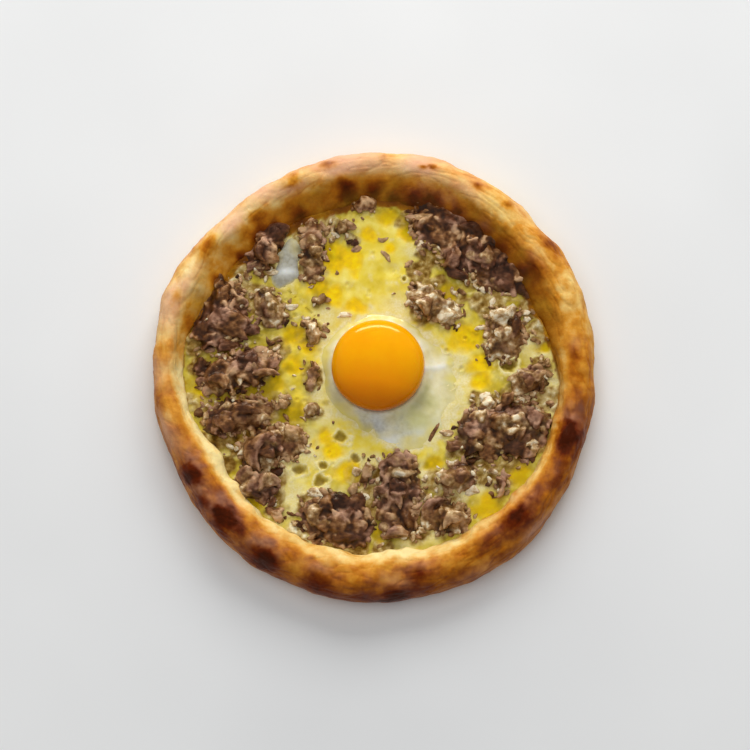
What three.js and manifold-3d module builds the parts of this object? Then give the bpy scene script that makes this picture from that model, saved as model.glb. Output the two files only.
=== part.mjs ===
// A round open flatbread: a raised, pinched crust holding melted cheese, heaps of chopped meat and
// one egg. Millimetres, +Z up, +Y towards the back, origin at the middle of the flat underside.

import * as THREE from "three";
import { mergeVertices } from "three/addons/utils/BufferGeometryUtils.js";
import Module from "manifold-3d";

// Driving dimensions of the crust
const WIDTH = 197; // along X
const LENGTH = 205; // along Y
const OPENING_RADIUS = 84; // mean distance from the middle to the foot of the inner wall
const OPENING_SHIFT = 3; // how much further out the wall is towards the back left
const SHIFT_ANGLE = 2.1;
const RIM_HEIGHT = 20.5; // crest above the table
const WIDEST_SHARE = 0.43; // of the rim's height, where the rim is widest
const FLOOR_THICKNESS = 5; // dough under the filling
const FLOOR_SETBACK = 2; // of the dough floor's edge, inside the foot of the inner wall
const LUMP = 1.5; // how far the baked bubbles swell the rim
const LUMP_SPACING = 15;
const PINCHES = 15; // finger marks round the inner edge
const PINCH_DEPTH = 1.5;

// Driving dimensions of the filling
const GAP = 0.35; // left between two pieces that touch
const CHEESE_LEVEL = 10.6; // mean top of the cheese above the table
const CHEESE_CLIMB = 0.9; // where the cheese meets the crust
const RELIEF = 1.1; // height of the cheese's lumps
const RELIEF_SPACING = 10;
const CALM_MARGIN = 5; // round a topping, over which the cheese's lumps grow to full height
const YOLK = { x: 1.3, y: 2.2, radius: 20.8, height: 15.5, foot: 18.4 };
const WHITE = { bed: 1.4, collar: 1.5, edge: 0.7, nearest: 24.4, lobe: 17, lobeAngle: -0.72, lobeWidth: 0.9 };
const WHITE_PATCH = { x: -38.6, y: 53.5, across: 4.6, along: 12, turn: -0.2, height: 1.6 };

// Round pits that burst bubbles left in the cheese: middle and radius
const PITS = [
  { x: -15, y: -28.5, radius: 3.0 },
  { x: -33.5, y: -43.5, radius: 3.1 },
  { x: -24.2, y: -48.8, radius: 2.6 },
  { x: -23, y: -41.8, radius: 2.2 },
  { x: -8.6, y: -38.6, radius: 2.2 },
  { x: 59.8, y: 3.8, radius: 3.2 },
  { x: 7.5, y: 48.1, radius: 2.4 },
  { x: -12, y: 38.6, radius: 2.2 },
];
const PIT_SINK = 0.35; // of a pit's radius, how far its ball's middle is above the cheese

// Heaps of chopped meat: each runs along a line from one end to the other and reaches spread to its sides
const HEAPS = [
  { name: "meat_heap_back_right", from: [28.5, 71], to: [57.5, 48.5], spread: 13.5 },
  { name: "meat_heap_right_back", from: [57.5, 13], to: [58.5, 22.5], spread: 9 },
  { name: "meat_heap_right_edge", from: [64.5, -5.5], to: [72.5, -1.5], spread: 5.5 },
  { name: "meat_heap_right", from: [48, -26], to: [66.5, -25.5], spread: 13 },
  { name: "meat_heap_front_right_inner", from: [33, -48.5], to: [40, -46], spread: 5.5 },
  { name: "meat_heap_front_right", from: [28, -65], to: [34.5, -66], spread: 8 },
  { name: "meat_heap_front", from: [11, -44], to: [10, -67], spread: 9.3 },
  { name: "meat_heap_front_left", from: [-21.5, -66.5], to: [-12, -69], spread: 12.3 },
  { name: "meat_heap_left_front_low", from: [-58.5, -51], to: [-49, -51.5], spread: 6.5 },
  { name: "meat_heap_left_front_mid", from: [-54, -35], to: [-38, -31], spread: 8 },
  { name: "meat_heap_left_front_top", from: [-68, -21], to: [-53, -18], spread: 8.3 },
  { name: "meat_heap_left", from: [-71, -1.5], to: [-51, 4.5], spread: 8 },
  { name: "meat_heap_left_back", from: [-68.5, 33.5], to: [-69, 22], spread: 12 },
  { name: "meat_heap_left_inner", from: [-49, 33.5], to: [-44.5, 27], spread: 6.2 },
  { name: "meat_heap_back_left_wall", from: [-52, 54], to: [-46, 65], spread: 7 },
  { name: "meat_heap_back_left", from: [-28, 66.5], to: [-28, 47.5], spread: 5.2 },
  { name: "meat_heap_inner_right", from: [19.5, 35.5], to: [32, 27.5], spread: 6.2 },
];
const AREA_PER_PIECE = 88; // mm2 of a heap's footprint for each piece of meat
const PIECE_RADII = [2.8, 5.4]; // half-size of the smallest and the largest piece
const LARGE_PIECE = 5; // half-length from which a piece has pentagon faces
const EDGE_SHARE = 0.8; // of a piece's half-size, how far its middle stays inside the heap's edge
const HEAP_RISE = 2.6; // how far the pieces over a heap's middle line lie above those at its edge
const CORE_SHARE = 0.86; // of a heap's spread, reached by the low mound under its pieces
const CORE_HEIGHT = 3.4;

// Single pieces of meat: middle, half-length, half-width and turn from X in degrees
const SINGLES = [
  { name: "meat_piece_back", x: -4.5, y: 78.5, long: 5.8, wide: 4.4, turn: 15 },
  { name: "meat_piece_back_small", x: -14, y: 67.5, long: 5, wide: 3.8, turn: 30 },
  { name: "meat_piece_left_upper", x: -25, y: 34, long: 5, wide: 3.2, turn: 0 },
  { name: "meat_piece_left_middle", x: -27.8, y: 19.5, long: 6.6, wide: 4.4, turn: 105 },
  { name: "meat_piece_left_lower", x: -27.6, y: -1, long: 8.2, wide: 3.5, turn: 75 },
  { name: "meat_piece_by_egg_front", x: -27.8, y: -17, long: 4.2, wide: 3.5, turn: 60 },
  { name: "meat_piece_left_front", x: -41, y: -14.5, long: 4.4, wide: 3.6, turn: 20 },
  { name: "meat_piece_front_inner", x: -4, y: -45.5, long: 4.8, wide: 4, turn: 45 },
  { name: "meat_piece_front_left", x: -44.5, y: -63, long: 5, wide: 4.2, turn: 120 },
  { name: "meat_piece_front_right", x: 56, y: -50.5, long: 8, wide: 3.6, turn: 80 },
];
const SINGLE_HEIGHT = 4.4; // half-height of a single piece
const SINGLE_SINK = 0.12; // of that half-height, how far its middle lies below the cheese

// How finely the curved faces are divided
const AROUND = 88; // steps round the crust
const YOLK_STEPS = 26;
const WHITE_STEPS = 38;

// Where the rim's section has its corners, in degrees: 0 faces out, 90 up and 180 in
const RIM_ANGLES = [-78, -50, -25, -3, 18, 39, 60, 80, 100, 120, 140, 160, 180];
const BULGE = 0.86; // exponent that squares the rim's section a little

const COLOURS = { crust: 0xc98a3f, cheese: 0xdcc662, white: 0xe4e0cc, yolk: 0xf39a08, meat: 0x5e3f2c };

const wasm = await Module();
wasm.setup();

const { lerp, smoothstep, degToRad } = THREE.MathUtils;

// Repeatable random share from 0 to 1 for a pair of whole numbers.
function dice(number, draw) {
  const value = Math.sin(number * 127.1 + draw * 311.7) * 43758.5453;
  return value - Math.floor(value);
}

// Smooth noise from -1 to 1 with one lump for each unit of length.
function noise(x, y, z) {
  const corner = [Math.floor(x), Math.floor(y), Math.floor(z)];
  const share = [x, y, z].map((value, axis) => smoothstep(value - corner[axis], 0, 1));
  let sum = 0;
  for (let bits = 0; bits < 8; bits++) {
    const step = [bits & 1, (bits >> 1) & 1, (bits >> 2) & 1];
    const weight = step.reduce((w, s, axis) => w * (s ? share[axis] : 1 - share[axis]), 1);
    sum += weight * dice(corner[0] + step[0] + 57 * (corner[1] + step[1]), 1 + corner[2] + step[2]);
  }
  return 2 * sum - 1;
}

// A closed geometry as a solid that can be joined and cut.
function solidOf(geometry) {
  const bare = new THREE.BufferGeometry().setAttribute("position", geometry.getAttribute("position"));
  bare.setIndex(geometry.index);
  const merged = mergeVertices(bare, 1e-4);
  return new wasm.Manifold(
    new wasm.Mesh({
      numProp: 3,
      vertProperties: merged.attributes.position.array,
      triVerts: new Uint32Array(merged.index.array),
    }),
  );
}

function geometryOf(solid) {
  const mesh = solid.getMesh();
  return new THREE.BufferGeometry()
    .setAttribute("position", new THREE.BufferAttribute(mesh.vertProperties, 3))
    .setIndex(new THREE.BufferAttribute(mesh.triVerts, 1));
}

// The largest body of a solid, without scraps and sealed hollows.
function largestBody(solid) {
  return solid.decompose().reduce((best, body) => (body.volume() > best.volume() ? body : best));
}

// Joins rings of points, each ring listed anticlockwise from above, into one closed surface. The first and
// last entries are single points. Rings run from the middle of the underside, outwards, up and back in.
// A ring may have twice or half the points of the next.
function closedRings(first, rings, last) {
  const points = [first, ...rings.flat(), last];
  const faces = [];
  let start = 1;
  rings[0].forEach((_, i) => faces.push([0, 1 + ((i + 1) % rings[0].length), 1 + i]));
  for (let k = 0; k + 1 < rings.length; k++) {
    const [n, m] = [rings[k].length, rings[k + 1].length];
    const outer = (i) => start + (i % n);
    const inner = (i) => start + n + (i % m);
    for (let i = 0; i < m; i++) {
      if (n === m) {
        faces.push([outer(i), outer(i + 1), inner(i + 1)], [outer(i), inner(i + 1), inner(i)]);
      } else {
        const [a, b, c] = [outer(2 * i), outer(2 * i + 1), outer(2 * i + 2)];
        faces.push([a, b, inner(i)], [b, c, inner(i + 1)], [b, inner(i + 1), inner(i)]);
      }
    }
    start += n;
  }
  const size = rings.at(-1).length;
  for (let i = 0; i < size; i++) faces.push([start + i, start + ((i + 1) % size), points.length - 1]);
  return new THREE.BufferGeometry()
    .setAttribute("position", new THREE.Float32BufferAttribute(points.flat(), 3))
    .setIndex(faces.flat());
}

// Points of one ring: radius and height are functions of the angle.
function ring(steps, radiusAt, heightAt, middle = { x: 0, y: 0 }) {
  return Array.from({ length: steps }, (_, i) => {
    const angle = (2 * Math.PI * i) / steps;
    const radius = radiusAt(angle);
    const [x, y] = [middle.x + radius * Math.cos(angle), middle.y + radius * Math.sin(angle)];
    return [x, y, heightAt(x, y, angle)];
  });
}

// Finger marks round the rim, from 0 between marks to 1 at the deepest.
function pinch(angle) {
  const uneven = angle + 0.12 * Math.sin(3 * angle + 1) + 0.05 * Math.sin(7 * angle);
  const strength = 0.55 + 0.45 * Math.sin(2 * angle + 2.4);
  return strength * Math.max(0, Math.sin((PINCHES * uneven) / 2)) ** 2;
}

// The crust's outer edge: an oval that hand shaping left uneven.
function outerRadius(angle) {
  const oval = Math.hypot((WIDTH / 2) * Math.cos(angle), (LENGTH / 2) * Math.sin(angle));
  return oval + 0.9 * Math.sin(3 * angle - 1.05) + 0.7 * Math.sin(5 * angle) - 0.5 * Math.sin(9 * angle);
}

// The foot of the inner wall: uneven, further out at the back left and narrowed by each finger mark.
function openingRadius(angle) {
  const round = OPENING_RADIUS + OPENING_SHIFT * Math.cos(angle - SHIFT_ANGLE);
  const oval = 1.8 * Math.cos(2 * angle + 1.8);
  const uneven = 1.1 * Math.cos(3 * angle + 3) + 1.5 * Math.cos(4 * angle + 1.1);
  return round + oval + uneven - PINCH_DEPTH * pinch(angle);
}

// Radius and height of the rim's surface for a direction round the bread and one round the rim's section.
function rimPoint(angle, section, grow = 0) {
  const [outer, inner] = [outerRadius(angle), openingRadius(angle)];
  const wave = 0.8 * Math.sin(2 * angle + 0.5) + 0.6 * Math.sin(7 * angle + 1);
  const crest = RIM_HEIGHT + wave - 0.8 * pinch(angle);
  const widest = WIDEST_SHARE * crest;
  const [cos, sin] = [Math.cos(section), Math.sin(section)];
  const middle = (outer + inner) / 2;
  const aboveFoot = smoothstep(section, degToRad(-70), 0);
  const aboveFilling = 1 - smoothstep(section, degToRad(140), Math.PI);
  const turn = [(middle / LUMP_SPACING) * Math.cos(angle), (middle / LUMP_SPACING) * Math.sin(angle)];
  const bubble = noise(turn[0] + cos, turn[1] + 20, 0.9 * section + 5);
  const swell = grow + LUMP * aboveFoot * aboveFilling * bubble;
  const across = (outer - inner) / 2 + swell;
  const up = (sin > 0 ? crest - widest : widest) + (sin > 0 ? swell : 0);
  return {
    radius: middle + across * Math.sign(cos) * Math.abs(cos) ** BULGE,
    height: Math.max(0, widest + up * Math.sign(sin) * Math.abs(sin) ** BULGE),
  };
}

// The crust, swollen by grow when it serves as a cutter.
function crustGeometry(grow = 0) {
  const sections = RIM_ANGLES.map(degToRad);
  const rows = sections.map((section) =>
    ring(
      AROUND,
      (angle) => rimPoint(angle, section, grow).radius,
      (x, y, angle) => (section === sections[0] ? 0 : rimPoint(angle, section, grow).height),
    ),
  );
  const floor = FLOOR_THICKNESS + grow;
  rows.push(ring(AROUND, (angle) => openingRadius(angle) - FLOOR_SETBACK - grow, () => floor));
  return closedRings([0, 0, 0], rows, [0, 0, floor]);
}

// Radius of the crust's inner wall at a height, read along the straight edges between its corners.
function wallRadius(angle, height) {
  const inward = RIM_ANGLES.filter((section) => section >= 90);
  const corners = inward.map((section) => rimPoint(angle, degToRad(section)));
  corners.push({ radius: openingRadius(angle) - FLOOR_SETBACK, height: FLOOR_THICKNESS });
  const below = corners.findIndex((corner) => corner.height <= height);
  const [high, low] = [corners[below - 1], corners[below]];
  return lerp(low.radius, high.radius, (height - low.height) / (high.height - low.height));
}

// The point of a heap's middle line that is nearest to a place on the bread.
function nearestOnLine(x, y, heap) {
  const line = new THREE.Line3(new THREE.Vector3(...heap.from, 0), new THREE.Vector3(...heap.to, 0));
  return line.closestPointToPoint(new THREE.Vector3(x, y, 0), true, new THREE.Vector3());
}

// Distance from a place to a heap's footprint, negative inside it.
function heapDistance(x, y, heap) {
  const nearest = nearestOnLine(x, y, heap);
  return Math.hypot(x - nearest.x, y - nearest.y) - heap.spread;
}

// Radius of the egg white's thin outline round the yolk.
function whiteRadius(angle) {
  const fromLobe = Math.atan2(Math.sin(angle - WHITE.lobeAngle), Math.cos(angle - WHITE.lobeAngle));
  const lobe = WHITE.lobe * Math.exp(-((fromLobe / WHITE.lobeWidth) ** 2));
  return WHITE.nearest + lobe + 0.9 * Math.sin(5 * angle + 1) + 0.5 * Math.sin(9 * angle);
}

// Distance from a point to the nearest topping, for calming the cheese under it.
function toppingDistance(x, y) {
  const [dx, dy] = [x - YOLK.x, y - YOLK.y];
  const toWhite = Math.hypot(dx, dy) - whiteRadius(Math.atan2(dy, dx));
  const toSingles = SINGLES.map((single) => Math.hypot(x - single.x, y - single.y) - single.long);
  const toPatch = Math.hypot(x - WHITE_PATCH.x, y - WHITE_PATCH.y) - WHITE_PATCH.along;
  return Math.min(toWhite, toPatch, ...toSingles, ...HEAPS.map((heap) => heapDistance(x, y, heap)));
}

// Height of the melted cheese: lumps where it lies bare, level under the toppings.
function cheeseHeight(x, y) {
  const calm = smoothstep(toppingDistance(x, y), 0, CALM_MARGIN);
  const coarse = noise(x / RELIEF_SPACING + 3, y / RELIEF_SPACING + 9, 4);
  const fine = noise(x / (RELIEF_SPACING / 2) + 7, y / (RELIEF_SPACING / 2) + 2, 8);
  return CHEESE_LEVEL + RELIEF * calm * (coarse + 0.45 * fine);
}

function cheeseGeometry() {
  const inside = (height) => (angle) => wallRadius(angle, height) - GAP;
  const foot = WIDEST_SHARE * RIM_HEIGHT;
  const edge = inside(CHEESE_LEVEL + CHEESE_CLIMB);
  const rows = [
    ring(AROUND, (angle) => inside(FLOOR_THICKNESS + GAP)(angle) - GAP, () => FLOOR_THICKNESS + GAP),
    ring(AROUND, inside(foot), () => foot),
    ring(AROUND, edge, () => CHEESE_LEVEL + CHEESE_CLIMB),
  ];
  const topRing = (steps) => (share) => ring(steps, (angle) => share * edge(angle), cheeseHeight);
  rows.push(...[0.955, 0.885, 0.8].map(topRing(AROUND)), ...[0.71, 0.61, 0.51, 0.4].map(topRing(AROUND / 2)));
  return closedRings([0, 0, FLOOR_THICKNESS + GAP], rows, [0, 0, CHEESE_LEVEL]);
}

// A ball that leaves a round pit where it dips into the cheese.
function pitGeometry({ x, y, radius }) {
  return new THREE.IcosahedronGeometry(radius, 1).translate(x, y, CHEESE_LEVEL + PIT_SINK * radius);
}

// The yolk: a tall dome, widest above its foot.
function yolkGeometry() {
  const middle = YOLK.height * 0.36;
  const profile = [new THREE.Vector2(0, 0), new THREE.Vector2(YOLK.foot, 0)];
  const steps = 7;
  for (let i = 0; i <= steps; i++) {
    const up = (Math.PI / 2) * (i / steps);
    const height = middle + (YOLK.height - middle) * Math.sin(up);
    profile.push(new THREE.Vector2(i === steps ? 0 : YOLK.radius * Math.cos(up), height));
  }
  return new THREE.LatheGeometry(profile, YOLK_STEPS)
    .rotateX(Math.PI / 2)
    .translate(YOLK.x, YOLK.y, CHEESE_LEVEL + WHITE.bed + GAP);
}

// The egg white: a level bed under the yolk, a collar round it and a thin edge.
function whiteGeometry() {
  const bed = CHEESE_LEVEL + WHITE.bed;
  const collar = YOLK.radius + 1.6;
  const between = (share) => (angle) => lerp(collar, whiteRadius(angle), share);
  const rows = [
    ring(WHITE_STEPS, whiteRadius, () => CHEESE_LEVEL - WHITE.edge, YOLK),
    ring(WHITE_STEPS, whiteRadius, () => CHEESE_LEVEL + WHITE.edge, YOLK),
    ring(WHITE_STEPS, between(0.7), (x, y) => bed + 0.35 * noise(x / 5, y / 5, 2), YOLK),
    ring(WHITE_STEPS, between(0.3), (x, y) => bed + 0.6 + 0.3 * noise(x / 5, y / 5, 2), YOLK),
    ring(WHITE_STEPS, () => collar, () => bed + WHITE.collar, YOLK),
    ring(WHITE_STEPS, () => YOLK.radius - 0.6, () => bed, YOLK),
  ];
  return closedRings([YOLK.x, YOLK.y, CHEESE_LEVEL - WHITE.edge], rows, [YOLK.x, YOLK.y, bed]);
}

// A second, small pool of egg white.
function whitePatchGeometry() {
  const { across, along, turn, height } = WHITE_PATCH;
  const radius = (share) => (angle) => {
    const [cos, sin] = [Math.cos(angle - turn), Math.sin(angle - turn)];
    const oval = (across * along) / Math.hypot(along * cos, across * sin);
    return share * oval * (1 + 0.12 * Math.sin(3 * angle));
  };
  const steps = 20;
  const rows = [
    ring(steps, radius(1), () => CHEESE_LEVEL - WHITE.edge, WHITE_PATCH),
    ring(steps, radius(1), () => CHEESE_LEVEL + WHITE.edge, WHITE_PATCH),
    ring(steps, radius(0.6), () => CHEESE_LEVEL + height, WHITE_PATCH),
  ];
  const middle = [WHITE_PATCH.x, WHITE_PATCH.y];
  return closedRings([...middle, CHEESE_LEVEL - WHITE.edge], rows, [...middle, CHEESE_LEVEL + height]);
}

// One craggy piece of meat with few sides. number picks its random shape, and a heap keeps it inside.
function meatPieceSolid({ number, x, y, z, long, wide, high, turn, tilt, heap }) {
  const Shape = long > LARGE_PIECE ? THREE.DodecahedronGeometry : THREE.IcosahedronGeometry;
  const geometry = new Shape(1, 0);
  const corners = geometry.getAttribute("position");
  for (let i = 0; i < corners.count; i++) {
    const corner = new THREE.Vector3().fromBufferAttribute(corners, i);
    const key = Math.round(corner.x * 31 + corner.y * 47 + corner.z * 61);
    corner.multiplyScalar(0.8 + 0.42 * dice(number, 20 + key));
    corners.setXYZ(i, corner.x, corner.y, corner.z);
  }
  geometry.scale(long, wide, high).rotateX(tilt).rotateZ(turn).translate(x, y, z);
  if (heap) keepInHeap(corners, heap);
  return solidOf(geometry);
}

// Draws the corners that lie outside a heap's footprint back to its edge.
function keepInHeap(corners, heap) {
  for (let i = 0; i < corners.count; i++) {
    const [x, y] = [corners.getX(i), corners.getY(i)];
    const nearest = nearestOnLine(x, y, heap);
    const share = Math.min(1, heap.spread / Math.hypot(x - nearest.x, y - nearest.y));
    corners.setXY(i, lerp(nearest.x, x, share), lerp(nearest.y, y, share));
  }
}

// The pieces of one heap, scattered along its line by a fixed rule. The largest comes first, at the middle.
function heapPieces(heap, heapNumber) {
  const [dx, dy] = [heap.to[0] - heap.from[0], heap.to[1] - heap.from[1]];
  const length = Math.hypot(dx, dy);
  const footprint = 2 * heap.spread * length + Math.PI * heap.spread ** 2;
  const count = Math.round(footprint / AREA_PER_PIECE);
  return Array.from({ length: count }, (_, i) => {
    const number = 100 * heapNumber + i;
    const radius = lerp(PIECE_RADII[0], PIECE_RADII[1], i === 0 ? 1 : dice(number, 1) ** 1.5);
    const reach = Math.max(0, heap.spread - EDGE_SHARE * radius);
    const share = i === 0 ? 0.5 : ((i - 0.5 + 0.6 * dice(number, 2)) / count) % 1;
    const along = lerp(-reach, length + reach, share);
    const pastEnd = Math.max(0, -along, along - length);
    const side = (i === 0 ? 0 : 2 * dice(number, 3) - 1) * Math.sqrt(Math.max(0, reach ** 2 - pastEnd ** 2));
    const rise = HEAP_RISE * (1 - Math.hypot(side, pastEnd) / heap.spread);
    const x = heap.from[0] + (along * dx - side * dy) / length;
    const y = heap.from[1] + (along * dy + side * dx) / length;
    return {
      number,
      x,
      y,
      z: CHEESE_LEVEL + 0.25 * radius + rise * (0.4 + 0.6 * dice(number, 4)),
      long: radius * (1 + 0.35 * dice(number, 5)),
      wide: radius * (0.72 + 0.2 * dice(number, 6)),
      high: radius * (0.7 + 0.2 * dice(number, 7)),
      turn: 2 * Math.PI * dice(number, 8),
      tilt: 0.8 * (dice(number, 9) - 0.5),
      heap,
    };
  });
}

// The low mound that a heap's pieces are fused to.
function heapCoreSolid(heap) {
  const [dx, dy] = [heap.to[0] - heap.from[0], heap.to[1] - heap.from[1]];
  const radius = CORE_SHARE * heap.spread;
  const geometry = new THREE.CapsuleGeometry(radius, Math.hypot(dx, dy), 2, 8)
    .scale(1, 1, CORE_HEIGHT / radius)
    .rotateZ(Math.atan2(dy, dx) - Math.PI / 2)
    .translate((heap.from[0] + heap.to[0]) / 2, (heap.from[1] + heap.to[1]) / 2, CHEESE_LEVEL);
  return solidOf(geometry);
}

function namedMesh(name, geometry, colour, roughness) {
  const flat = geometry.toNonIndexed();
  flat.computeVertexNormals();
  const material = new THREE.MeshStandardMaterial({ color: colour, roughness, metalness: 0 });
  const mesh = new THREE.Mesh(flat, material);
  mesh.name = name;
  return mesh;
}

const pits = PITS.map((pit) => solidOf(pitGeometry(pit)));
const wholeCheese = solidOf(cheeseGeometry());
const cheese = pits.reduce((solid, pit) => solid.subtract(pit), wholeCheese);

// Cutters that keep the toppings a gap away from the cheese under them and the crust beside them
const slab = new THREE.BoxGeometry(2 * WIDTH, 2 * LENGTH, CHEESE_LEVEL);
slab.translate(0, 0, CHEESE_LEVEL / 2 + GAP);
const cutters = [solidOf(slab), wholeCheese.translate([0, 0, GAP]), solidOf(crustGeometry(3 * GAP))];

function fitted(solid) {
  return geometryOf(largestBody(cutters.reduce((left, cutter) => left.subtract(cutter), solid)));
}

const bread = new THREE.Group();
bread.add(namedMesh("crust", crustGeometry(), COLOURS.crust, 0.6));
bread.add(namedMesh("cheese", geometryOf(cheese), COLOURS.cheese, 0.35));
bread.add(namedMesh("egg_white", fitted(solidOf(whiteGeometry())), COLOURS.white, 0.25));
bread.add(namedMesh("egg_white_patch", fitted(solidOf(whitePatchGeometry())), COLOURS.white, 0.25));
bread.add(namedMesh("egg_yolk", yolkGeometry(), COLOURS.yolk, 0.15));

HEAPS.forEach((heap, index) => {
  const pieces = heapPieces(heap, index + 1).map(meatPieceSolid);
  const heaped = pieces.reduce((solid, piece) => solid.add(piece), heapCoreSolid(heap));
  bread.add(namedMesh(heap.name, fitted(heaped), COLOURS.meat, 0.5));
});

SINGLES.forEach((single, index) => {
  const piece = meatPieceSolid({
    number: 50 + index,
    x: single.x,
    y: single.y,
    z: CHEESE_LEVEL - SINGLE_SINK * SINGLE_HEIGHT,
    long: single.long,
    wide: single.wide,
    high: SINGLE_HEIGHT,
    turn: degToRad(single.turn),
    tilt: 0,
  });
  bread.add(namedMesh(single.name, fitted(piece), COLOURS.meat, 0.5));
});

export default bread;
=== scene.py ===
"""A round, open Turkish pide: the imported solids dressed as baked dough, cheese, egg and chopped meat."""

import math
from itertools import product

import bmesh
import bpy
import numpy as np
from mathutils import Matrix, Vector
from mathutils.bvhtree import BVHTree
from mathutils.kdtree import KDTree


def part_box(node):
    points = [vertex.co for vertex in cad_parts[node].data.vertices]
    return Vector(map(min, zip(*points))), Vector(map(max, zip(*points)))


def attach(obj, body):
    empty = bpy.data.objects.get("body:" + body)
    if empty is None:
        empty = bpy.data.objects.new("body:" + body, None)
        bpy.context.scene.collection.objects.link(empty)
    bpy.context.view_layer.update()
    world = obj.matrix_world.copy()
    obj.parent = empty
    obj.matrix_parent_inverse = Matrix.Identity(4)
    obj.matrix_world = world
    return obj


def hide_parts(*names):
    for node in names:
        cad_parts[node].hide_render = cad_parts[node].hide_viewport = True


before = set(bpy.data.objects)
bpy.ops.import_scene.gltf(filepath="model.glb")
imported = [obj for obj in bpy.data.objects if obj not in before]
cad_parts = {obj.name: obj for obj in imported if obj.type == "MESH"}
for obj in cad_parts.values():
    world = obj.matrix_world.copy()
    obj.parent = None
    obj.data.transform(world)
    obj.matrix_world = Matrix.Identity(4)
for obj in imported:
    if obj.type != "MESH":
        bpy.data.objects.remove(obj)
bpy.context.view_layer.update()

MM = 0.001  # lengths below are in millimetres unless they say otherwise

# Camera and studio
CAMERA_ELEVATION = 76  # degrees above the table
CAMERA_DISTANCE = 1500
CAMERA_TARGET = (0, 0, 9)
VIEW_HALF_WIDTH = 167  # of what the picture spans at the target
SENSOR_WIDTH = 36  # of the camera

# Heights of the solids that this script needs
RIM_MIDDLE_HEIGHT = 9
CHEESE_LEVEL = 10.6
FLOOR_HEIGHT = 5
CHEESE_UNDERSIDE = FLOOR_HEIGHT + 0.35
SUNK = 1.4  # how deep the undersides of the egg and the meat lie in the cheese

# Distances from the middle
OUTSIDE = 130  # past the crust
RIM_RADIUS = 90  # along the middle of the rim
FILLING_RADIUS = 80  # as far as small bubbles and crumbs lie
INSIDE = 60  # over the filling, well within the solid rim
INSIDE_WALL = 55  # the same within the dressed one, whose wall slopes
EGG_CLEARANCE = 26  # from the yolk's middle, within which no crumbs lie
YOLK_RADIUS = 21  # where the white rises to the yolk
OVERHEAD = 60  # a height above everything, where rays down start

# Brown spots on the rim: direction in degrees, distance from the middle, half-size, strength
RIM_SPOTS = [
    (142, 94, 6.5, 0.9), (127, 89.5, 5, 0.75), (132, 88, 5, 0.4), (113, 94, 5.5, 0.55),
    (103, 97.5, 6, 0.4), (99, 88.7, 4.5, 0.7), (74, 85, 6, 0.75), (66, 83, 5, 0.7), (52, 80, 4, 0.4),
    (77, 96.3, 2.6, 0.6), (74.6, 97.5, 2.6, 0.6), (61.5, 96.5, 3, 0.55), (51.7, 96.5, 3, 0.5),
    (35.5, 97.5, 6, 0.65), (32.6, 85.4, 7, 0.5), (4, 88.8, 3.5, 0.55), (-19, 89.6, 7, 1),
    (-33, 94, 5, 0.2), (-47, 90.5, 9, 0.7), (-57, 92, 7, 0.25), (-78, 94.4, 7, 0.5),
    (-85, 101, 7, 0.55), (-104, 97.5, 7, 0.6), (-120, 97.5, 8, 0.7), (-134, 94.5, 7.5, 0.85),
    (-142, 97, 6, 0.6), (-149.5, 93.5, 6, 0.9), (-171, 92.6, 7, 0.3), (175, 93.5, 7, 0.3),
    (159, 94, 5, 0.4),
]
SPOT_SHEEN = 5.5  # how far behind a spot its painted sheen lies

# Folds of the rim's inner edge: direction in degrees, half-width in degrees, how far they stand out
RIM_FOLDS = [
    (-151, 4.5, 2.8), (-139, 3.5, 1.8), (-107, 6, 1), (-81, 7, 1.8), (-42, 4, 1.6), (-18, 4, 1.4),
    (162, 5, 1.2), (174, 9, 1.8), (-173, 7, 1.2),
]

# Pools of melted butter: middle and half-size
BUTTER = [
    (-18, 54, 7.5), (-11, 52, 5), (-25.1, 40.5, 5.5), (-19, 37, 4.5), (5, 72, 5), (-3, 65, 4),
    (34, 37, 4.5), (41.5, 17, 7.5), (47.5, 5, 6), (48, -2, 5), (-36, 18, 5), (-76, -7, 6),
    (-68, -12, 5), (7, 58, 3), (-51.5, -8, 6), (-37, -18, 5.5), (-22, -28, 4), (-18, -35, 4.5),
    (-13.4, -44.5, 4.5), (-9, 31, 3.5), (-53.5, -58, 4), (50, -61.5, 6), (65, -44.5, 5),
    (25.6, -40.5, 3.5), (76, 12, 3), (15, 66, 5), (1.8, -72.9, 4), (-36, 4, 4.5), (-44, -3, 4.5),
    (-30, 13, 3.5),
]

# Round pits that burst bubbles left in the cheese: middle and half-size
PITS = [
    (-15, -28.5, 3), (-33.5, -43.5, 3.1), (-24.2, -48.8, 3), (-23, -41.8, 2.2), (-8.6, -38.6, 2.2),
    (59.8, 3.8, 3.4), (34, -6, 1.6), (13, 44, 1.5),
]
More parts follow.
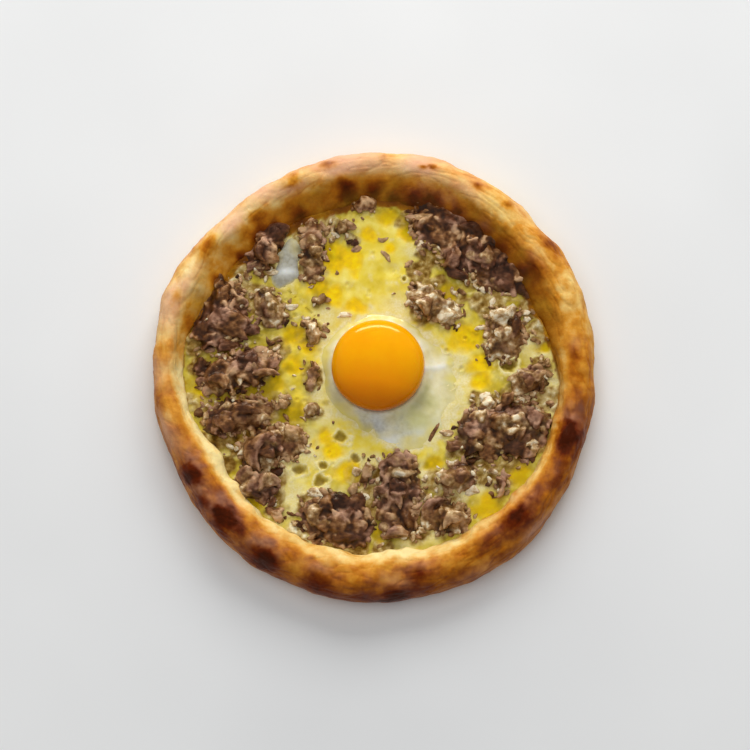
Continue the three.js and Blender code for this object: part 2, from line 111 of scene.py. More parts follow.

# Where the cheese is mixed with brown sauce, two dark ones by the rim in front at the left being painted
# shadow: middle, half-size, and how light it is from 0 to 1
SAUCE_AND_SHADOW = [
    (-62, 45, 9, 0.62), (-80, 27, 9, 0.28), (-54, 34, 9, 0.45), (-62, 6, 7, 0.1), (-80, -13, 6, 0.75),
    (-71, -18, 8, 0.45), (-60, -10, 7, 0.05), (-55, -22, 7, 0.05), (-67, -27, 10, 0.14),
    (-49, -25, 7, 0.6), (-46, -13, 6, 0.5), (-57, -55, 6, 0.2), (-43, -46, 7, 0.7), (-39, -36, 6, 0.7),
    (-30, 18, 7, 0.35), (-27, -18, 5, 0.5), (-45, 27, 7, 0.4), (-43, 12, 6, 0.35), (-79, 14, 7, 0.3),
    (-27, -60, 9, 0.55), (-34, -72, 7, 0.9), (-26, -71, 6, 0.3), (-9, -77, 9, 0.12), (0, -50, 8, 0.5),
    (1, -62, 7, 0.35), (3, -79, 6, 0.6), (18, -71, 8, 0.25), (20, -58, 7, 0.6), (33, -60, 8, 0.7),
    (27, -48, 7, 0.55), (-10, -46, 6, 0.5), (46, -13, 6, 0.3), (58, -16, 10, 0.42), (67, -13, 8, 0.6),
    (77, -12, 7, 0.7), (72, -31, 6, 0.3), (60, -40, 7, 0.35), (50, -45, 8, 0.5), (44, -37, 7, 0.4),
    (66, -3, 7, 0.5), (74, 3, 6, 0.5), (36, -33, 6, 0.4), (51, 33, 9, 0.6), (57, 20, 10, 0.5),
    (74, 20, 7, 0.65), (69, 30, 6, 0.45), (28, 40, 7, 0.35), (20, 47, 7, 0.35), (13, 71, 5, 0.3),
    (36, 36, 6, 0.35), (46, 46, 10, 0.45), (27, 57, 10, 0.3), (24, 30, 9, 0.35), (-31, 62, 8, 0.5),
    (-29, 49, 7, 0.4), (-66, -42, 6, 0.08), (-62, -52, 5, 0.2), (-74, -31, 5, 0.3), (-51, -40, 6, 0.2),
    (-44, -55, 5, 0.3), (-78, 3, 6, 0.3), (-60, -33, 6, 0.15), (47, 34, 6, 0.5), (55, -30, 8, 0.3),
    (22, -66, 6, 0.3), (-18, -78, 6, 0.25), (-20, 68, 7, 0.6), (-48, 59, 9, 0.12), (-38, 69, 5, 0.7),
    (-50, 48, 6, 0.3), (-10, 62, 4, 0.6),
]

# Pale, creamy places of the cheese: middle and half-size
CREAM = [
    (41, -3, 6), (37, 7, 5), (37, -13, 6), (-22, 17, 5), (-22, 27, 5), (-25, -9, 5), (-21, -18, 5),
    (-7, -42, 5), (-36, -55, 7), (-30, -35, 7), (-14, 27, 4), (17, 57, 4), (10, 31, 6), (22, -45, 5),
    (-31, 50, 4.5), (-40, 49, 4), (-24, 47, 3), (-48, -57, 3), (47, -50, 4), (14, -79, 4), (60, 12, 5),
    (68, 15, 6), (80, -15, 5), (74, 9, 6), (70, -8, 5), (79, -3, 5),
]

# Dark places on the inner wall of the back, partly baked brown and partly painted shade: middle and
# half-size
WALL_BURN_AND_SHADE = [
    (-12, 87, 6), (-1, 86, 6), (-35, 74, 5), (-51, 62, 4), (-45, 67, 3.5), (18, 83, 7.5), (26, 79, 7),
    (38, 74, 7), (49, 67, 7), (57, 58, 6), (-60, 53, 3), (8, 82, 4), (-71, 43, 3), (-83, 22, 4),
    (66, 46, 4),
]

# Small bits that show by themselves: middle, half-length, half-width, turn, lightness, cheese on it
BITS = [
    (15, 51, 2.3, 1.7, 20, 0.7, 0.55), (19.5, 46.5, 2.6, 1.7, -40, 0.7, 0.6),
    (26, -27, 4.6, 1, 62, 0.6, 0.3), (3.5, 62, 2.4, 1.1, 0, 0.9, 0.7),
    (5, 54.5, 2.8, 1.3, -50, 0.9, 0.6), (-8.5, 58, 2.4, 1.4, 20, 0.8, 0.5),
    (-9, 61, 2, 1.4, 0, 0.3, 0.2), (35, -24.5, 1.7, 0.9, 10, 0.1, 0), (-14, 27, 3.4, 1.3, 5, 1, 1),
    (-37, 31, 3.4, 1.5, 5, 1, 1), (-52, 38, 3.2, 1.6, -30, 1, 1), (-44, 24, 3.6, 1.6, 0, 1, 0.95),
    (-27, -17, 3.6, 1.9, -30, 0.5, 0.4), (49, -11, 3.2, 2.2, 10, 1, 1), (63, -21, 3.2, 1.6, 20, 1, 1),
    (-49, -20, 2.6, 1.7, 20, 1, 0.9), (-41, -24, 3.4, 1.5, -40, 1, 0.85),
    (-8, -44, 2.5, 2.1, 60, 1, 0.9), (-25, -54, 5, 2.4, -8, 1, 1), (-4, -56, 3.4, 1.6, -45, 1, 0.9),
    (13, -46, 5.4, 1.7, -6, 1, 0.9), (35, -42, 3.2, 2, 10, 1, 0.85),
    (29, -46.5, 2.4, 1.9, 20, 0.9, 0.8), (33, -27, 4.8, 1.7, 6, 1, 0.8),
    (45, -19, 3.2, 2, 30, 0.8, 0.7), (61, -27, 3.8, 1.4, 20, 1, 0.8), (-60, -3, 2.4, 2.8, 0, 0.9, 0.75),
    (-77, 43, 3.6, 2, 0, 0.8, 0.5), (43, -52, 3.2, 2.4, 10, 1, 1), (55, -50, 4.6, 2.2, -55, 0.45, 0.1),
    (-78, -18, 2.6, 2, 40, 0.3, 0.3), (-66, -15, 3, 1.4, 20, 1, 0.8), (-55, -14, 4, 1.2, 0, 0.7, 0.6),
    (33, 27.5, 2.6, 2.4, 30, 1, 1), (21, 31, 2.8, 1.3, 0, 1, 0.85), (26, 34, 3.4, 1.6, 20, 1, 0.85),
    (56, 27, 4.4, 2.8, 10, 1, 1), (55, 18, 2.8, 2, 60, 1, 0.9), (45, 44, 2.8, 1.6, 20, 1, 0.9),
    (43, 54, 2.4, 2.2, 40, 1, 0.85), (20, 59, 2.8, 2, 70, 1, 0.85), (19, 72, 5.5, 1.5, 0, 0.9, 0.6),
    (67, 28, 2.2, 1.3, 0, 1, 0.8), (48, 21.5, 3.4, 1.1, 5, 1, 0.8), (62, -2.5, 3.4, 1.8, 30, 0.9, 0.7),
    (66, -2, 3.6, 1.7, 0, 0.6, 0.4), (73, -2, 3, 2.4, 40, 0.7, 0.5), (68, -5, 2.2, 3, 20, 0.2, 0.1),
    (-33, 45, 2.6, 1.4, 30, 0.6, 0.5), (-46, 47, 4.2, 1.4, 0, 1, 0.85),
    (-10, -53, 2.6, 3.6, 0, 0.6, 0.4), (-40, -11, 3.2, 2.2, -20, 0.8, 0.55),
    (-45, -15, 2.6, 2, 0, 0.4, 0.3), (-43, -45, 3, 2.2, 20, 0.15, 0.2),
    (62, -62, 2.8, 1.6, 60, 0.3, 0.2), (70, -38, 4, 2.4, -50, 0.3, 0.2),
    (-44, -60, 2.6, 2, 70, 0.8, 0.5),
]

# Heaps of meat: how far a skin of cheese covers each, from 0 to 1, and its large pieces by middle,
# half-length, half-width, turn in degrees, lightness and the cheese on them
HEAPS = {
    # Its darkest pieces, by the back wall, are partly painted shade
    "back_right": (0.14, [
        (24, 76, 7, 4, -35, 0.1, 0), (45, 66, 6, 4.4, 30, 0.15, 0), (53, 63, 4.5, 4, -50, 0.08, 0),
        (28, 64, 5.5, 4.2, 30, 0.35, 0.2), (35, 54, 5.5, 4.2, 70, 0.35, 0.1),
        (36, 46, 5, 3, -20, 0.25, 0.2), (58, 44, 6, 4.2, -20, 0.2, 0.1), (50, 53, 5, 3.6, 40, 0.5, 0.5),
        (66, 39, 5.5, 2.4, -65, 0.1, 0),
    ]),
    "right_back": (0.6, [(57, 25, 5, 3.6, 20, 0.7, 0.85), (63, 21, 5, 2.2, 85, 0.25, 0.2)]),
    "right_edge": (0.5, []),
    "right": (0.4, [
        (44, -26, 6.2, 4.8, -5, 0.6, 0.05), (61, -34, 6.8, 2.9, -12, 0.3, 0.05),
        (49, -36, 4.4, 3.6, 60, 0.25, 0.1), (34, -33, 4.2, 2.8, -10, 0.5, 0.35),
        (71, -22, 4.6, 3.6, 80, 0.5, 0.2), (50, -13, 4, 2.8, 0, 0.7, 0.8),
        (58, -12, 3.8, 3, 30, 0.3, 0.2), (55, -23, 4.4, 3.8, 10, 0.45, 0.5),
    ]),
    "front_right_inner": (0.5, [(38, -47, 3.6, 3, 60, 0.25, 0.1), (32, -49, 3.8, 3, -30, 0.7, 0.6)]),
    "front_right": (0.55, [(24, -62, 6, 4.2, 80, 0.5, 0.35), (34, -66, 5.8, 3.2, 35, 0.65, 0.6)]),
    "front": (0.35, [
        (11, -41, 5.5, 4, -20, 0.45, 0.3), (9, -52, 5, 4, 80, 0.3, 0.1),
        (16.5, -54, 4.6, 3.8, 40, 0.45, 0.15), (13, -64, 6, 3, -45, 0.35, 0.15),
        (10, -72.5, 7, 2.8, 0, 0.45, 0.2),
    ]),
    "front_left": (0.14, [
        (-15.5, -59, 6, 5.4, 80, 0.12, 0), (-8.5, -58, 5.5, 4, 60, 0.3, 0.1),
        (-12, -73, 6.5, 4.4, 10, 0.2, 0.1), (-27, -64, 5, 3.4, 60, 0.55, 0.6),
        (-22, -69, 4.4, 3, 0, 0.55, 0.5),
    ]),
    "left_front_low": (0.45, [(-57, -47, 5, 3.5, 70, 0.6, 0.3), (-48, -49, 5, 3.4, 30, 0.55, 0.5)]),
    "left_front_mid": (0.45, [
        (-54, -35, 8, 5.2, 75, 0.7, 0.12), (-37, -28, 6, 4.2, -30, 0.75, 0.55),
        (-46, -37, 4, 3, 40, 0.2, 0.1),
    ]),
    "left_front_top": (0.3, [(-58, -17.5, 7.5, 2.8, 0, 0.3, 0.1), (-66, -23, 5.5, 4.5, 20, 0.3, 0.2)]),
    "left": (0.25, [
        (-78, 3, 4.4, 3.4, 60, 0.15, 0), (-71, 3.5, 5, 2.4, 25, 0.6, 0.2),
        (-68, -4, 5.5, 2.6, -35, 0.45, 0.2), (-45, 6.5, 5, 4, 70, 0.55, 0.15),
        (-56, 6, 4.5, 3.4, 20, 0.4, 0.25), (-49, 0, 6, 1.7, 5, 0.55, 0.2),
    ]),
    "left_back": (0.12, [
        (-66, 23.5, 9, 6.3, 0, 0.42, 0), (-69, 35, 5.5, 3.8, 90, 0.3, 0),
        (-78, 21, 4.5, 3.6, 70, 0.2, 0), (-55, 20, 4, 2.8, 0, 0.25, 0.1),
        (-66, 14, 6, 3, 15, 0.45, 0.1),
    ]),
    "left_inner": (0.55, []),
    "back_left_wall": (0.12, [
        (-45, 64, 7.5, 4.2, 42, 0.1, 0), (-52, 57, 5, 3.2, 75, 0.15, 0),
        (-48, 53, 5, 3.2, 10, 0.45, 0.3),
    ]),
    "back_left": (0.5, []),
    "inner_right": (0.6, [(22, 32, 5.5, 4.2, -40, 0.45, 0.4), (32, 27, 4.5, 3, 20, 0.7, 0.8)]),
}

# Single pieces of meat, with the cheese on each
SINGLES = {
    "back": 0.12, "back_small": 0.5, "left_upper": 0.5, "left_middle": 0.6, "left_lower": 0.3,
    "by_egg_front": 0.6, "left_front": 0.5, "front_inner": 0.6, "front_left": 0.12, "front_right": 0.25,
}

# Other pieces of a heap: least and greatest half-size, area of the heap for each, closeness
PIECE_SIZES = [(1.9, 3.2, 24, 0.7), (1.0, 1.7, 16, 0.7)]
SPILLED_SIZE = 2  # pieces smaller than this may lie past the heap's edge
CRUMBS = 420  # in each half of the bread
SMALL_BUBBLES = 110
FACETS = 9  # of each piece
SHARPNESS = 7  # of the edges between its facets
BELOW_TOP = 0.85  # how far its middle lies under its top, in half-heights
HOLLOW_DEPTH = 0.3  # of a narrow hollow between pieces whose painted shade is quite dark
BROAD_DEPTH = 0.8  # of a broad one

# How finely the pieces are divided: points round or along them, and cells in millimetres
CRUST_AROUND = 600
WALL_AROUND = 720
CHEESE_SIDE = 231
OUTLINE_AROUND = 240
WHITE_AROUND = 220
WHITE_ROWS = 60
PATCH_AROUND = 120
PATCH_ROWS = 26
YOLK_AROUND = 128
YOLK_ROWS = 64
HEAP_CELL = 0.8
SINGLE_CELL = 0.6
MEAT_CELL = 0.5

# Seeds of the random draws
NOISE_SEED = 20
BUBBLE_SEED = 31
HEAP_SEED = 1000
SINGLE_SEED = 2017
CRUMB_SEED = 77

rng = np.random.default_rng(NOISE_SEED)
GRADIENTS = rng.normal(size=(256, 3))
GRADIENTS /= np.linalg.norm(GRADIENTS, axis=1)[:, None]
SHUFFLE = rng.permutation(256)


# Numbers and noise


def noise(points, spacing, seed=0):
    """Smooth noise from about -1 to 1 with one lump for each spacing."""
    place = np.asarray(points, float) / spacing + 13.7 * seed
    cell = np.floor(place).astype(int)
    inside = place - cell
    fade = inside**3 * (inside * (6 * inside - 15) + 10)
    total = np.zeros(len(place))
    for corner in product((0, 1), repeat=3):
        at = cell + corner
        pick = SHUFFLE[(SHUFFLE[(SHUFFLE[at[:, 0] & 255] + at[:, 1]) & 255] + at[:, 2]) & 255]
        weight = np.prod(np.where(corner, fade, 1 - fade), axis=1)
        total += weight * np.einsum("ij,ij->i", GRADIENTS[pick], inside - corner)
    return 1.6 * total


def layers(points, *each):
    """Noise in layers, each with its strength, spacing and seed."""
    return sum(much * noise(points, spacing, seed) for much, spacing, seed in each)


def smoothstep(value, start, end):
    share = np.clip((value - start) / (end - start), 0, 1)
    return share * share * (3 - 2 * share)


def bell(distance, size):
    return np.exp(-((distance / size) ** 2))


def blurred(values, sigma, axis, wrap=False):
    """Gaussian blur of a table along one axis, sigma in cells."""
    reach = int(3 * sigma) + 1
    weights = bell(np.arange(-reach, reach + 1), sigma * math.sqrt(2))
    weights /= weights.sum()
    pad = [(0, 0)] * values.ndim
    pad[axis] = (reach, reach)
    wide = np.pad(values, pad, mode="wrap" if wrap else "edge")
    return np.apply_along_axis(np.convolve, axis, wide, weights, mode="valid")


def flat_points(x, y, z=0.0):
    return np.column_stack([np.ravel(x), np.ravel(y), np.broadcast_to(np.ravel(z), np.size(x))])


def away(points, x, y):
    """How far points are from a place, seen from above."""
    return np.hypot(points[:, 0] - x, points[:, 1] - y)


def directions(count):
    """So many even directions from the middle, in radians."""
    return np.arange(count) * 2 * math.pi / count


def closed_ring(angles, radii):
    """Directions and radii with the first repeated at the end, to read between them."""
    return np.append(angles, 2 * math.pi), np.append(radii, radii[0])


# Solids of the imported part


def surface(*names):
    """The faces of CAD nodes, in millimetres, to cast rays at."""
    corners = []
    faces = []
    for name in names:
        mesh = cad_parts[name].data
        start = len(corners)
        corners.extend(Vector(vertex.co) / MM for vertex in mesh.vertices)
        faces.extend([start + i for i in polygon.vertices] for polygon in mesh.polygons)
    return BVHTree.FromPolygons(corners, faces)


def top_at(tree, x, y):
    """Height of the highest face over each place, or nan where there is none."""
    down = Vector((0, 0, -1))
    hits = (tree.ray_cast(Vector((u, v, OVERHEAD)), down)[0] for u, v in zip(np.ravel(x), np.ravel(y)))
    return np.array([math.nan if hit is None else hit.z for hit in hits]).reshape(np.shape(x))


class Chart:
    """A square table of values over the bread, read between its cells."""

    REACH = 96
    STEP = 1.0

    def __init__(self):
        self.ticks = np.arange(-self.REACH, self.REACH + self.STEP / 2, self.STEP)
        self.x, self.y = np.meshgrid(self.ticks, self.ticks, indexing="ij")

    def blur(self, values, sigma):
        cells = sigma / self.STEP
        return blurred(blurred(values, cells, 0), cells, 1)

    def read(self, values, x, y):
        end = len(self.ticks) - 1.001  # just within the last cell
        u, v = (np.clip((np.asarray(place) + self.REACH) / self.STEP, 0, end) for place in (x, y))
        i, j = u.astype(int), v.astype(int)
        s, t = u - i, v - j
        near = (1 - t) * values[i, j] + t * values[i, j + 1]
        far = (1 - t) * values[i + 1, j] + t * values[i + 1, j + 1]
        return (1 - s) * near + s * far


# Meshes


def linked(name, data):
    """A new object in the scene for a mesh, a light or a camera."""
    obj = bpy.data.objects.new(name, data)
    bpy.context.scene.collection.objects.link(obj)
    return obj


def make_piece(name, corners, faces, material, masks, nodes=()):
    """A smooth closed mesh from millimetres that rides on the bread and may stand for CAD nodes."""
    mesh = bpy.data.meshes.new(name)
    faces = np.asarray(faces, np.int32)
    mesh.vertices.add(len(corners))
    mesh.vertices.foreach_set("co", (np.asarray(corners) * MM).ravel())
    mesh.loops.add(faces.size)
    mesh.loops.foreach_set("vertex_index", faces.ravel())
    mesh.polygons.add(len(faces))
    mesh.polygons.foreach_set("loop_start", np.arange(0, faces.size, 3, dtype=np.int32))
    mesh.polygons.foreach_set("use_smooth", np.ones(len(faces), bool))
    for mask, values in masks.items():
        layer = mesh.attributes.new(mask, "FLOAT", "POINT")
        layer.data.foreach_set("value", np.ascontiguousarray(values, np.float32))
    mesh.materials.append(material)
    mesh.update()
    mesh.validate()
    obj = linked(name, mesh)
    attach(obj, "root")
    if nodes:
        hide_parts(*nodes)


def tree_of(corners, faces):
    return BVHTree.FromPolygons([Vector(c) for c in corners], [tuple(f) for f in faces])


def quad_faces(a, b, c, d):
    """Two triangles for each four-sided cell, from its corners."""
    return np.vstack([np.column_stack([a, b, c]), np.column_stack([a, c, d])])


def closed_rows(rows, first, last):
    """Corners and faces of a surface through rows of points, closed by a single point at each end."""
    count = len(rows[0])
    corners = np.vstack([[first], *rows, [last]])
    i = np.arange(count)
    j = (i + 1) % count
    faces = [np.column_stack([np.zeros(count, int), 1 + j, 1 + i])]
    for k in range(len(rows) - 1):
        a, b = 1 + k * count, 1 + (k + 1) * count
        faces.append(quad_faces(a + i, a + j, b + j, b + i))
    a = 1 + (len(rows) - 1) * count
    faces.append(np.column_stack([a + i, a + j, np.full(count, len(corners) - 1)]))
    return corners, np.vstack(faces)


def fused(corners, faces, cell):
    """Points, triangles and edges of one closed skin round overlapping closed meshes."""
    mesh = bpy.data.meshes.new("loose")
    mesh.from_pydata(corners.tolist(), [], faces.tolist())
    loose = linked("loose", mesh)
    remesh = loose.modifiers.new("fuse", "REMESH")
    remesh.mode = "VOXEL"
    remesh.voxel_size = cell
    whole = loose.evaluated_get(bpy.context.evaluated_depsgraph_get())
    skin = whole.to_mesh()
    skin.calc_loop_triangles()
    points = np.empty(3 * len(skin.vertices), np.float32)
    skin.vertices.foreach_get("co", points)
    triangles = np.empty(3 * len(skin.loop_triangles), np.int32)
    skin.loop_triangles.foreach_get("vertices", triangles)
    edges = np.empty(2 * len(skin.edges), np.int32)
    skin.edges.foreach_get("vertices", edges)
    whole.to_mesh_clear()
    bpy.data.objects.remove(loose)
    bpy.data.meshes.remove(mesh)
    return points.reshape(-1, 3).astype(float), triangles.reshape(-1, 3), edges.reshape(-1, 2)


def relaxed(values, edges, rounds):
    """Values at the points of a mesh, each moved half-way to its neighbours' mean, so many times."""
    one, two = edges.T
    count = np.bincount(edges.ravel(), minlength=len(values))
    size = len(values)
    for _ in range(rounds):
        total = [np.bincount(one, v[two], size) + np.bincount(two, v[one], size) for v in values.T]
        values = 0.5 * values + 0.5 * (np.array(total) / count).T
    return values


def mesh_normals(points, triangles):
    a, b, c = (points[triangles[:, k]] for k in range(3))
    normal = np.cross(b - a, c - a)
    total = np.zeros_like(points)
    for k in range(3):
        for axis in range(3):
            total[:, axis] += np.bincount(triangles[:, k], normal[:, axis], len(points))
    return total / np.maximum(np.linalg.norm(total, axis=1), 1e-9)[:, None]


# Materials


def colour(code):
    """Linear colour of an sRGB hex code."""
    parts = [int(code[i : i + 2], 16) / 255 for i in (1, 3, 5)]
    return (*[p / 12.92 if p <= 0.04045 else ((p + 0.055) / 1.055) ** 2.4 for p in parts], 1.0)


class Paint:
    """A node material put together by short calls."""

    def __init__(self, name):
        self.material = bpy.data.materials.new(name)
        self.material.use_nodes = True
        self.tree = self.material.node_tree
        self.tree.nodes.clear()
        self.place = self.add("TexCoord").outputs["Object"]

    def add(self, kind, inputs=None, **settings):
        node = self.tree.nodes.new("ShaderNode" + kind)
        for key, value in settings.items():
            setattr(node, key, value)
        for key, value in (inputs or {}).items():
            if isinstance(value, bpy.types.NodeSocket):
                self.tree.links.new(value, node.inputs[key])
            else:
                node.inputs[key].default_value = value
        return node

    def mask(self, name):
        return self.add("Attribute", attribute_name=name).outputs["Fac"]

    def speckle(self, spacing, detail, stretch=None):
        """Noise from 0 to 1 with lumps of a size in millimetres."""
        place = self.place
        if stretch:
            place = self.add("Mapping", {"Vector": place, "Scale": stretch}).outputs["Vector"]
        inputs = {"Vector": place, "Scale": 1 / (spacing * MM), "Detail": detail}
        return self.add("TexNoise", inputs).outputs["Fac"]

    def sum(self, *terms):
        """Adds pairs of a socket and its weight to a first number."""
        total = terms[0]
        for socket, weight in terms[1:]:
            inputs = {0: socket, 1: weight, 2: total}
            total = self.add("Math", inputs, operation="MULTIPLY_ADD").outputs[0]
        return total

    def plus(self, value, constant):
        return self.add("Math", {0: value, 1: constant}).outputs[0]

    def times(self, a, b):
        return self.add("Math", {0: a, 1: b}, operation="MULTIPLY", use_clamp=True).outputs[0]

    def range(self, value, low, high, out_low, out_high):
        inputs = {0: value, 1: low, 2: high, 3: out_low, 4: out_high}
        return self.add("MapRange", inputs, interpolation_type="SMOOTHSTEP").outputs[0]

    def ramp(self, factor, stops):
        node = self.add("ValToRGB", {"Fac": factor})
        elements = node.color_ramp.elements
        for element, (position, code) in zip((elements[1], elements[0]), (stops[-1], stops[0])):
            element.position = position
            element.color = colour(code)
        for position, code in stops[1:-1]:
            elements.new(position).color = colour(code)
        return node.outputs["Color"]

    def mix(self, factor, a, b):
        """Mixes two colours, each a socket or a hex code."""
        a, b = [colour(c) if isinstance(c, str) else c for c in (a, b)]
        return self.add("Mix", {0: factor, 6: a, 7: b}, data_type="RGBA").outputs[2]

    def laid(self, mask, share, tone, over):
        """A tone with another laid over it where a mask says, at most as far as share."""
        return self.mix(self.times(self.mask(mask), share), tone, over)

    def bump(self, height, distance, strength, below=None):
        inputs = {"Height": height, "Distance": distance * MM, "Strength": strength}
        if below is not None:
            inputs["Normal"] = below
        return self.add("Bump", inputs).outputs["Normal"]

    def finish(self, **inputs):
        shader = self.add("BsdfPrincipled", {key.replace("_", " "): v for key, v in inputs.items()})
        self.add("OutputMaterial", {"Surface": shader.outputs[0]})
        return self.material


def dough_material():
    paint = Paint("baked_dough")
    cloud = paint.speckle(9, 4)
    fine = paint.speckle(1.6, 5)
    grain = paint.speckle(0.45, 3)
    bake = paint.plus(paint.sum(paint.mask("bake"), (cloud, 0.22), (fine, 0.2)), -0.21)
    stops = [
        (0.0, "#fae29e"), (0.17, "#efc470"), (0.36, "#d9942f"), (0.54, "#b5690f"), (0.7, "#874105"),
        (0.85, "#641f00"), (1.0, "#401000"),
    ]
    # A pinkish painted sheen laid over the baked tone
    tone = paint.laid("painted_sheen", 0.85, paint.ramp(bake, stops), "#e6b190")
    # Dark amber oil, which on the back's inner wall is also painted shade
    oil_and_shade = paint.ramp(cloud, [(0.3, "#683804"), (0.5, "#955d0c"), (0.7, "#ba8622")])
    tone = paint.laid("oil_and_shade", paint.range(cloud, 0.25, 0.6, 0.6, 1.0), tone, oil_and_shade)
    rise = paint.bump(fine, 0.5, 0.5)
    rise = paint.bump(grain, 0.16, 0.5, rise)
    return paint.finish(
        Base_Color=tone,
        Roughness=paint.range(paint.mask("oil_and_shade"), 0.1, 0.9, 0.5, 0.36),
        Specular_IOR_Level=0.25,
        Specular_Tint=(1.0, 0.75, 0.5, 1),
        Normal=rise,
        Subsurface_Weight=0.06,
        Subsurface_Radius=(1.0, 0.5, 0.2),
        Subsurface_Scale=0.003,
    )


def cheese_material():
    paint = Paint("melted_cheese")
    cloud = paint.speckle(8, 4)
    curd = paint.speckle(3.4, 5)
    grain = paint.speckle(0.9, 4)
    mixed = paint.sum(0.0, (cloud, 0.7), (curd, 0.3))
    yellow = [(0.3, "#e2c62a"), (0.45, "#ecd348"), (0.58, "#f3e070"), (0.72, "#f8ea9c")]
    greenish = [(0.3, "#867208"), (0.5, "#a58e1e"), (0.7, "#c4b04e")]
    # An olive tone, partly the sauce's own colour and partly painted shade near the meat and the walls
    olive_and_shade = paint.times(paint.mask("olive_and_shade"), paint.range(cloud, 0.2, 0.7, 0.6, 1.0))
    body = paint.mix(olive_and_shade, paint.ramp(mixed, yellow), paint.ramp(curd, greenish))
    cream = paint.ramp(grain, [(0.3, "#e6d68e"), (0.7, "#f4e9bc")])
    body = paint.laid("cream", paint.range(curd, 0.3, 0.6, 0.7, 1.0), body, cream)
    butter = paint.ramp(curd, [(0.3, "#e6b600"), (0.5, "#f8cc00"), (0.7, "#ffdf18")])
    pool = paint.mix(olive_and_shade, butter, "#a08606")
    body = paint.laid("butter", paint.range(curd, 0.3, 0.6, 0.85, 1.0), body, pool)
    lumps = paint.plus(paint.sum(paint.mask("lump"), (grain, 0.4)), -0.2)
    sauce = [
        (0.05, "#472a06"), (0.3, "#74500f"), (0.52, "#a08040"), (0.75, "#cab47c"), (0.95, "#eee3be"),
    ]
    body = paint.mix(paint.mask("grease"), body, paint.ramp(lumps, sauce))
    body = paint.laid("pit", 0.8, body, "#8e7028")
    wall = paint.plus(paint.sum(paint.mask("wall_tone"), (cloud, 0.4), (grain, 0.15)), -0.25)
    stops = [(0.1, "#260802"), (0.3, "#542403"), (0.5, "#7e4602"), (0.7, "#9c6605"), (0.9, "#b88c22")]
    body = paint.mix(paint.mask("wall"), body, paint.ramp(wall, stops))
    rise = paint.bump(curd, 0.3, 0.25)
    rise = paint.bump(grain, 0.15, 0.3, rise)
    return paint.finish(
        Base_Color=body,
        Roughness=paint.range(paint.mask("butter"), 0.1, 0.8, 0.34, 0.16),
        Specular_IOR_Level=0.4,
        Normal=rise,
        Subsurface_Weight=0.1,
        Subsurface_Radius=(1.0, 0.7, 0.2),
        Subsurface_Scale=0.003,
        Specular_Tint=(1.0, 0.86, 0.45, 1),
        Coat_Weight=0.08,
        Coat_Roughness=0.12,
    )


def white_material():
    paint = Paint("set_egg_white")
    cloud = paint.speckle(6, 4)
    fine = paint.speckle(1.5, 4)
    tone = paint.ramp(cloud, [(0.3, "#e4d7a2"), (0.5, "#f0e6b8"), (0.7, "#f8f2d6")])
    pool = paint.ramp(fine, [(0.35, "#b2b2ae"), (0.6, "#cfd1cf")])
    tone = paint.laid("leaf", 0.85, tone, "#cdcb86")
    tone = paint.laid("pool", 0.9, tone, pool)
    tone = paint.laid("dim", 0.85, tone, "#83794f")
    # Bluish-white painted glints
    tone = paint.laid("painted_glint", 0.85, tone, "#eff2f0")
    tone = paint.laid("rim", paint.range(cloud, 0.2, 0.6, 0.5, 1.0), tone, "#e8d670")
    return paint.finish(
        Base_Color=tone,
        Roughness=paint.range(fine, 0.3, 0.7, 0.16, 0.26),
        Specular_IOR_Level=0.4,
        Normal=paint.bump(fine, 0.25, 0.4),
        Subsurface_Weight=0.25,
        Subsurface_Radius=(1.0, 0.85, 0.5),
        Subsurface_Scale=0.003,
        Coat_Weight=0.5,
        Coat_Roughness=0.06,
    )


def yolk_material():
    paint = Paint("egg_yolk")
    cloud = paint.speckle(12, 3)
    fine = paint.speckle(2.0, 3)
    # Deeper orange where the painted light is low: in front and towards the foot
    stops = [(0.0, "#a04600"), (0.3, "#d67400"), (0.6, "#f89900"), (1.0, "#ffae00")]
    tone = paint.ramp(paint.mask("painted_light"), stops)
    tone = paint.mix(paint.range(cloud, 0.35, 0.7, 0, 0.3), tone, "#f39200")
    return paint.finish(
        Base_Color=tone,
        Roughness=0.12,
        Specular_IOR_Level=0.5,
        Specular_Tint=(1.0, 0.75, 0.25, 1),
        Normal=paint.bump(fine, 0.1, 0.1),
        Subsurface_Weight=0.25,
        Subsurface_Radius=(1.0, 0.3, 0.02),
        Subsurface_Scale=0.005,
        Coat_Weight=0.1,
        Coat_Roughness=0.09,
    )


